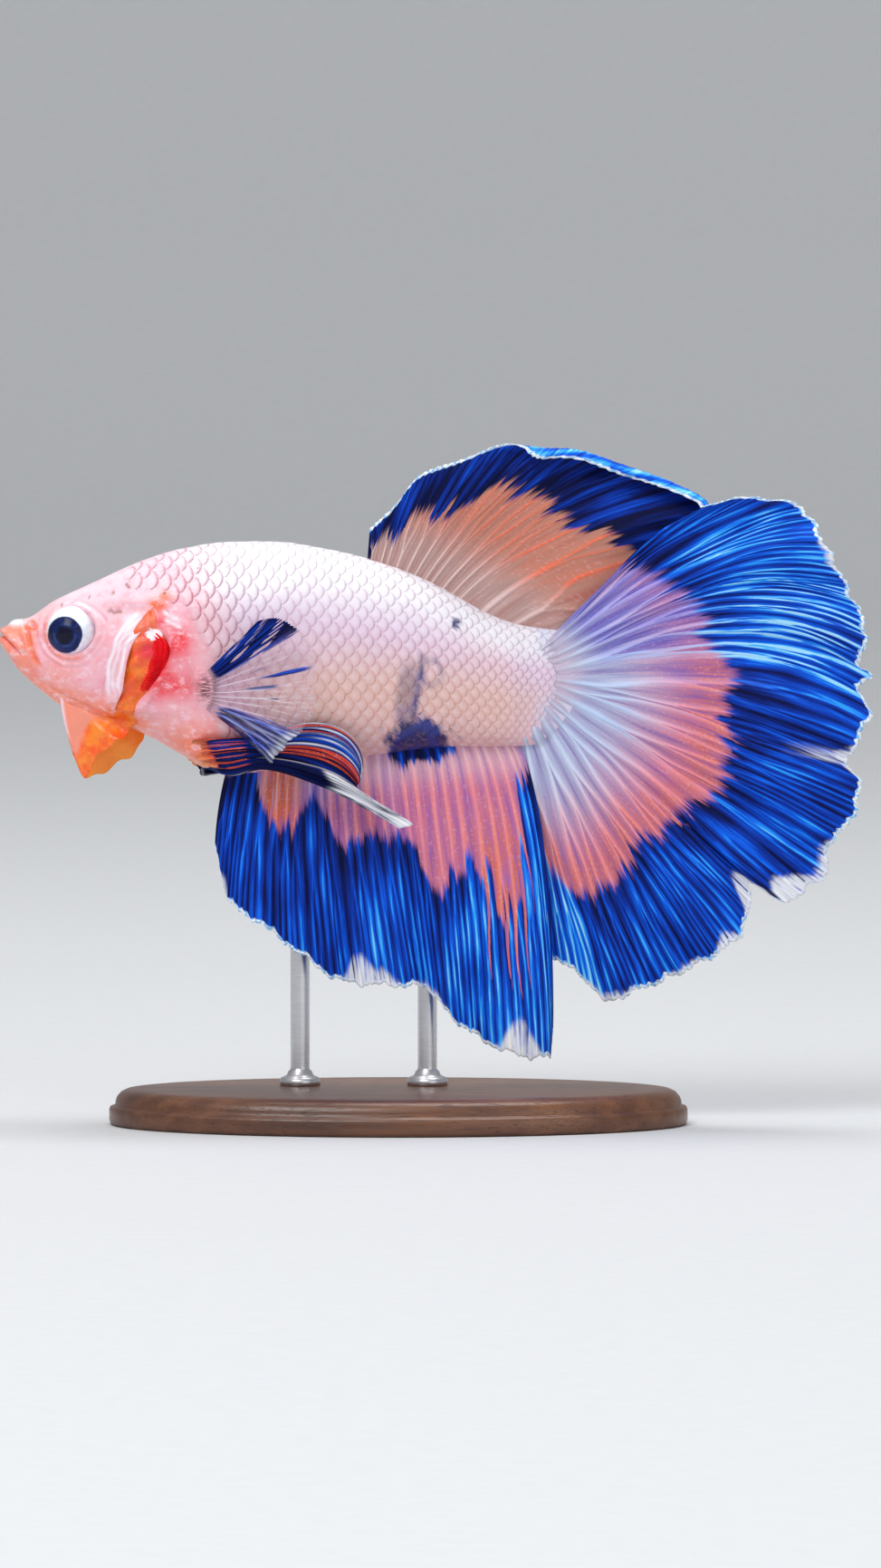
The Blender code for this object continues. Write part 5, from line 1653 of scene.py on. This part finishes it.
beard, comb = membrane_finish(), gill_finish()
for side, word in SIDES:
    sheet = fin_sheet(
        "membrane_" + word, membrane(side), (50, 200), (7, (), 50 + side), (0.12, 0.1, 0.06, 0.3),
        beard, membrane_masks,
    )
    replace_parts(sheet, "gill_membrane_" + word)
    gill = make_gill(side, "gill_red_" + word, comb)
    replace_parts(gill, "gill_" + word)

# %% [markdown]
# Nothing but water holds up the living fish. The model has a turned oval plinth of dark wood
# and two thin steel rods instead. A moulded edge catches a line of light, which is what makes
# a plain plate look turned, and a ring of the same steel hides where each rod meets the wood.

# %% Make the stand
PLINTH_EDGE = [  # (inset, share of the thickness), from the floor up and over the edge
    (0.35, 0), (0.08, 0.05), (0, 0.14), (0, 0.42), (0.1, 0.5), (0.42, 0.53), (0.5, 0.56),
    (0.52, 0.66), (0.66, 0.78), (0.98, 0.9), (1.45, 0.975), (2.1, 1.0),
]
ROD_RING = [  # (radius as a share of the rod's, height over the wood)
    (2.1, 0.0), (2.1, 0.5), (1.95, 0.7), (1.6, 0.8), (1.35, 0.95), (1.25, 1.2), (1.02, 1.35),
    (1.0, 1.5),
]
WOODS = [(0.35, tint(52, 27, 16)), (0.6, tint(92, 54, 34)), (0.85, tint(130, 84, 54))]
PORE_TINT, STEELS = tint(32, 16, 10), (tint(188, 188, 192), tint(226, 226, 228))


def turned(name, middle, profile, finish, sides=96):
    """Rings round an upright axis. profile is (half-length, half-width, height) rows."""
    turn = np.linspace(0, TAU, sides, endpoint=False)
    along, wide, up = (np.array(part)[:, None] for part in zip(*profile))
    x, y = middle[0] + along * np.cos(turn), middle[1] + wide * np.sin(turn)
    points = np.stack(np.broadcast_arrays(x, y, up), axis=-1).reshape(-1, 3)
    faces, corners = grid_quads(len(profile), sides, wrap=True)
    ends = [list(range(sides))[::-1], [(len(profile) - 1) * sides + i for i in range(sides)]]
    patch = corners.reshape(-1, 2) / np.array([len(profile) - 1, sides])
    caps = 0.5 + 0.4 * np.stack([np.cos(turn), np.sin(turn)], axis=1)
    patch = np.concatenate([patch, caps[::-1], caps])
    return build(name, points, faces.tolist() + ends, finish, None, patch)


def wood_finish():
    finish = Finish("plinth_walnut", roughness=0.38, coat_weight=0.25, coat_roughness=0.2)
    where = finish.place()
    bend = finish.noise(where.stretched(0.04, 0.12, 0.12), 1.0, 2)
    grain = finish.noise(where.stretched(0.05, 0.9, 0.9), 1.0, 4, 0.6)
    pores = finish.noise(where.stretched(0.35, 7.0, 7.0), 1.0, 2)
    wood = finish.ramp(bend * 0.7 + grain * 0.6, WOODS)
    finish.set("Base Color", finish.mix(pores.step(0.56, 0.7, 0.0, 0.6), wood, PORE_TINT))
    finish.relief(1.0 - pores.step(0.56, 0.7), 0.02)
    return finish.material


def steel_finish():
    finish = Finish("rod_steel", metallic=1.0, roughness=0.34)
    lathe = finish.noise(finish.place().stretched(0.6, 0.6, 22.0), 1.0, 2)
    finish.set("Base Color", finish.mix(lathe, *STEELS))
    finish.relief(lathe, 0.004)
    return finish.material


low, high = (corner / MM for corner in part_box("stand_base"))
half_length, half_width, thick = (high.x - low.x) / 2, (high.y - low.y) / 2, high.z
profile = [(half_length - inset, half_width - inset, share * thick) for inset, share in PLINTH_EDGE]
plinth = turned("plinth", (0, 0), profile, wood_finish())
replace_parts(plinth, "stand_base")
steel = steel_finish()
for word in ("front", "rear"):
    low, high = (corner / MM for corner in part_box("stand_rod_" + word))
    radius = (high.x - low.x) / 2
    profile = [(radius * wide, radius * wide, thick - 0.05 + up) for wide, up in ROD_RING]
    profile += [(radius, radius, height) for height in np.linspace(thick + 1.8, high.z, 12)]
    rod = turned("rod_" + word, ((low.x + high.x) / 2, (low.y + high.y) / 2), profile, steel, 32)
    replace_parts(rod, "stand_rod_" + word)

# %% [markdown]
# A studio for something small is one sheet of pale paper that curves up behind it, so that no
# horizon shows. This one curves up all round, because the model is looked at from every side.
# A large lamp on the left gives the form, one above lights the back and the floor, and a weak
# one on the right opens the shadows. Large lamps close to a small thing make soft shadows, and
# four more light the paper's walls.

# %% Paper, lamps and air
STAGE_SWEEP = [  # (distance from the middle, height) in metres
    (0.0001, 0), (0.3, 0), (0.7, 0), (1.2, 0), (1.35, 0.015), (1.5, 0.08), (1.65, 0.24),
    (1.77, 0.5), (1.84, 0.85), (1.87, 1.3),
]
STAGE_SIDES = 96
FISH_MIDDLE = (0, 0, 0.035)
LAMPS = [  # (name, place, target, size, watts)
    ("lamp_key", (-0.25, -0.5, 0.55), FISH_MIDDLE, (0.35, 0.35), 3.0),
    ("lamp_fill", (0.4, -0.6, 0.2), FISH_MIDDLE, (0.5, 0.5), 0.7),
    ("lamp_top", (0.05, 0.1, 0.7), FISH_MIDDLE, (0.5, 0.3), 3.2),
]
AIR_GLOW = 0.38


def round_middle(reach, turn, height):
    return (reach * math.cos(turn), reach * math.sin(turn), height)


def looks_at(thing, place, target):
    """Puts a lamp or camera at a place, turned to a target."""
    thing.location = place
    thing.rotation_mode = "QUATERNION"
    thing.rotation_quaternion = (Vector(target) - Vector(place)).to_track_quat("-Z", "Y")


paper = Finish("studio_paper", roughness=0.9)
fibres = paper.noise(paper.place(), 2.0, 3)
paper.set("Base Color", paper.mix(fibres, tint(203, 205, 208), tint(209, 211, 214)))
turns = np.linspace(0, TAU, STAGE_SIDES, endpoint=False)
sweep = [round_middle(reach, turn, height) for reach, height in STAGE_SWEEP for turn in turns]
studio_mesh = bpy.data.meshes.new("studio_floor")
studio_mesh.from_pydata(sweep, [], grid_quads(len(STAGE_SWEEP), STAGE_SIDES, wrap=True)[0].tolist())
studio_mesh.materials.append(paper.material)
studio_mesh.shade_smooth()
studio_floor = add("studio_floor", studio_mesh)
for i in range(4):
    turn = math.radians(90 * i + 90)
    place, target = round_middle(0.9, turn, 1.1), round_middle(1.75, turn, 0.35)
    LAMPS.append((f"lamp_wall_{i}", place, target, (0.6, 0.6), 3.0))
for name, place, target, size, watts in LAMPS:
    lamp = bpy.data.lights.new(name, "AREA")
    lamp.shape = "RECTANGLE"
    lamp.size, lamp.size_y = size
    lamp.energy = watts
    looks_at(add(name, lamp), place, target)
air = bpy.data.worlds.new("studio_air")
air.use_nodes = True
air.node_tree.nodes["Background"].inputs["Color"].default_value = (1, 1, 1, 1)
air.node_tree.nodes["Background"].inputs["Strength"].default_value = AIR_GLOW
bpy.context.scene.world = air
bpy.context.scene.view_settings.view_transform = "Standard"
print("lamps:", ", ".join(f"{lamp[0]} {lamp[4]} W" for lamp in LAMPS))

# %% [markdown]
# The camera looks at the fish's left side from a little above its middle. A long lens from
# further away keeps the near fins from growing larger than the far ones, as a wide lens close
# by would make them.

# %% The camera
VIEW_MIDDLE = Vector((3.49, 0, 28.24)) * MM
VIEW_TALL = 129.8 * MM  # how much height the picture takes in at the fish
CAMERA_AWAY, CAMERA_RISE = 0.8, math.radians(3.0)
lens = bpy.data.cameras.new("camera")
lens.sensor_width = 36.0
lens.lens = lens.sensor_width * CAMERA_AWAY / VIEW_TALL
lens.clip_start, lens.clip_end = 0.01, 20.0
camera = add("camera", lens)
camera_side = Vector((0, -math.cos(CAMERA_RISE), math.sin(CAMERA_RISE)))
looks_at(camera, VIEW_MIDDLE + CAMERA_AWAY * camera_side, VIEW_MIDDLE)
bpy.context.scene.camera = camera
print("lens:", round(lens.lens), "mm, camera", CAMERA_AWAY, "m away")
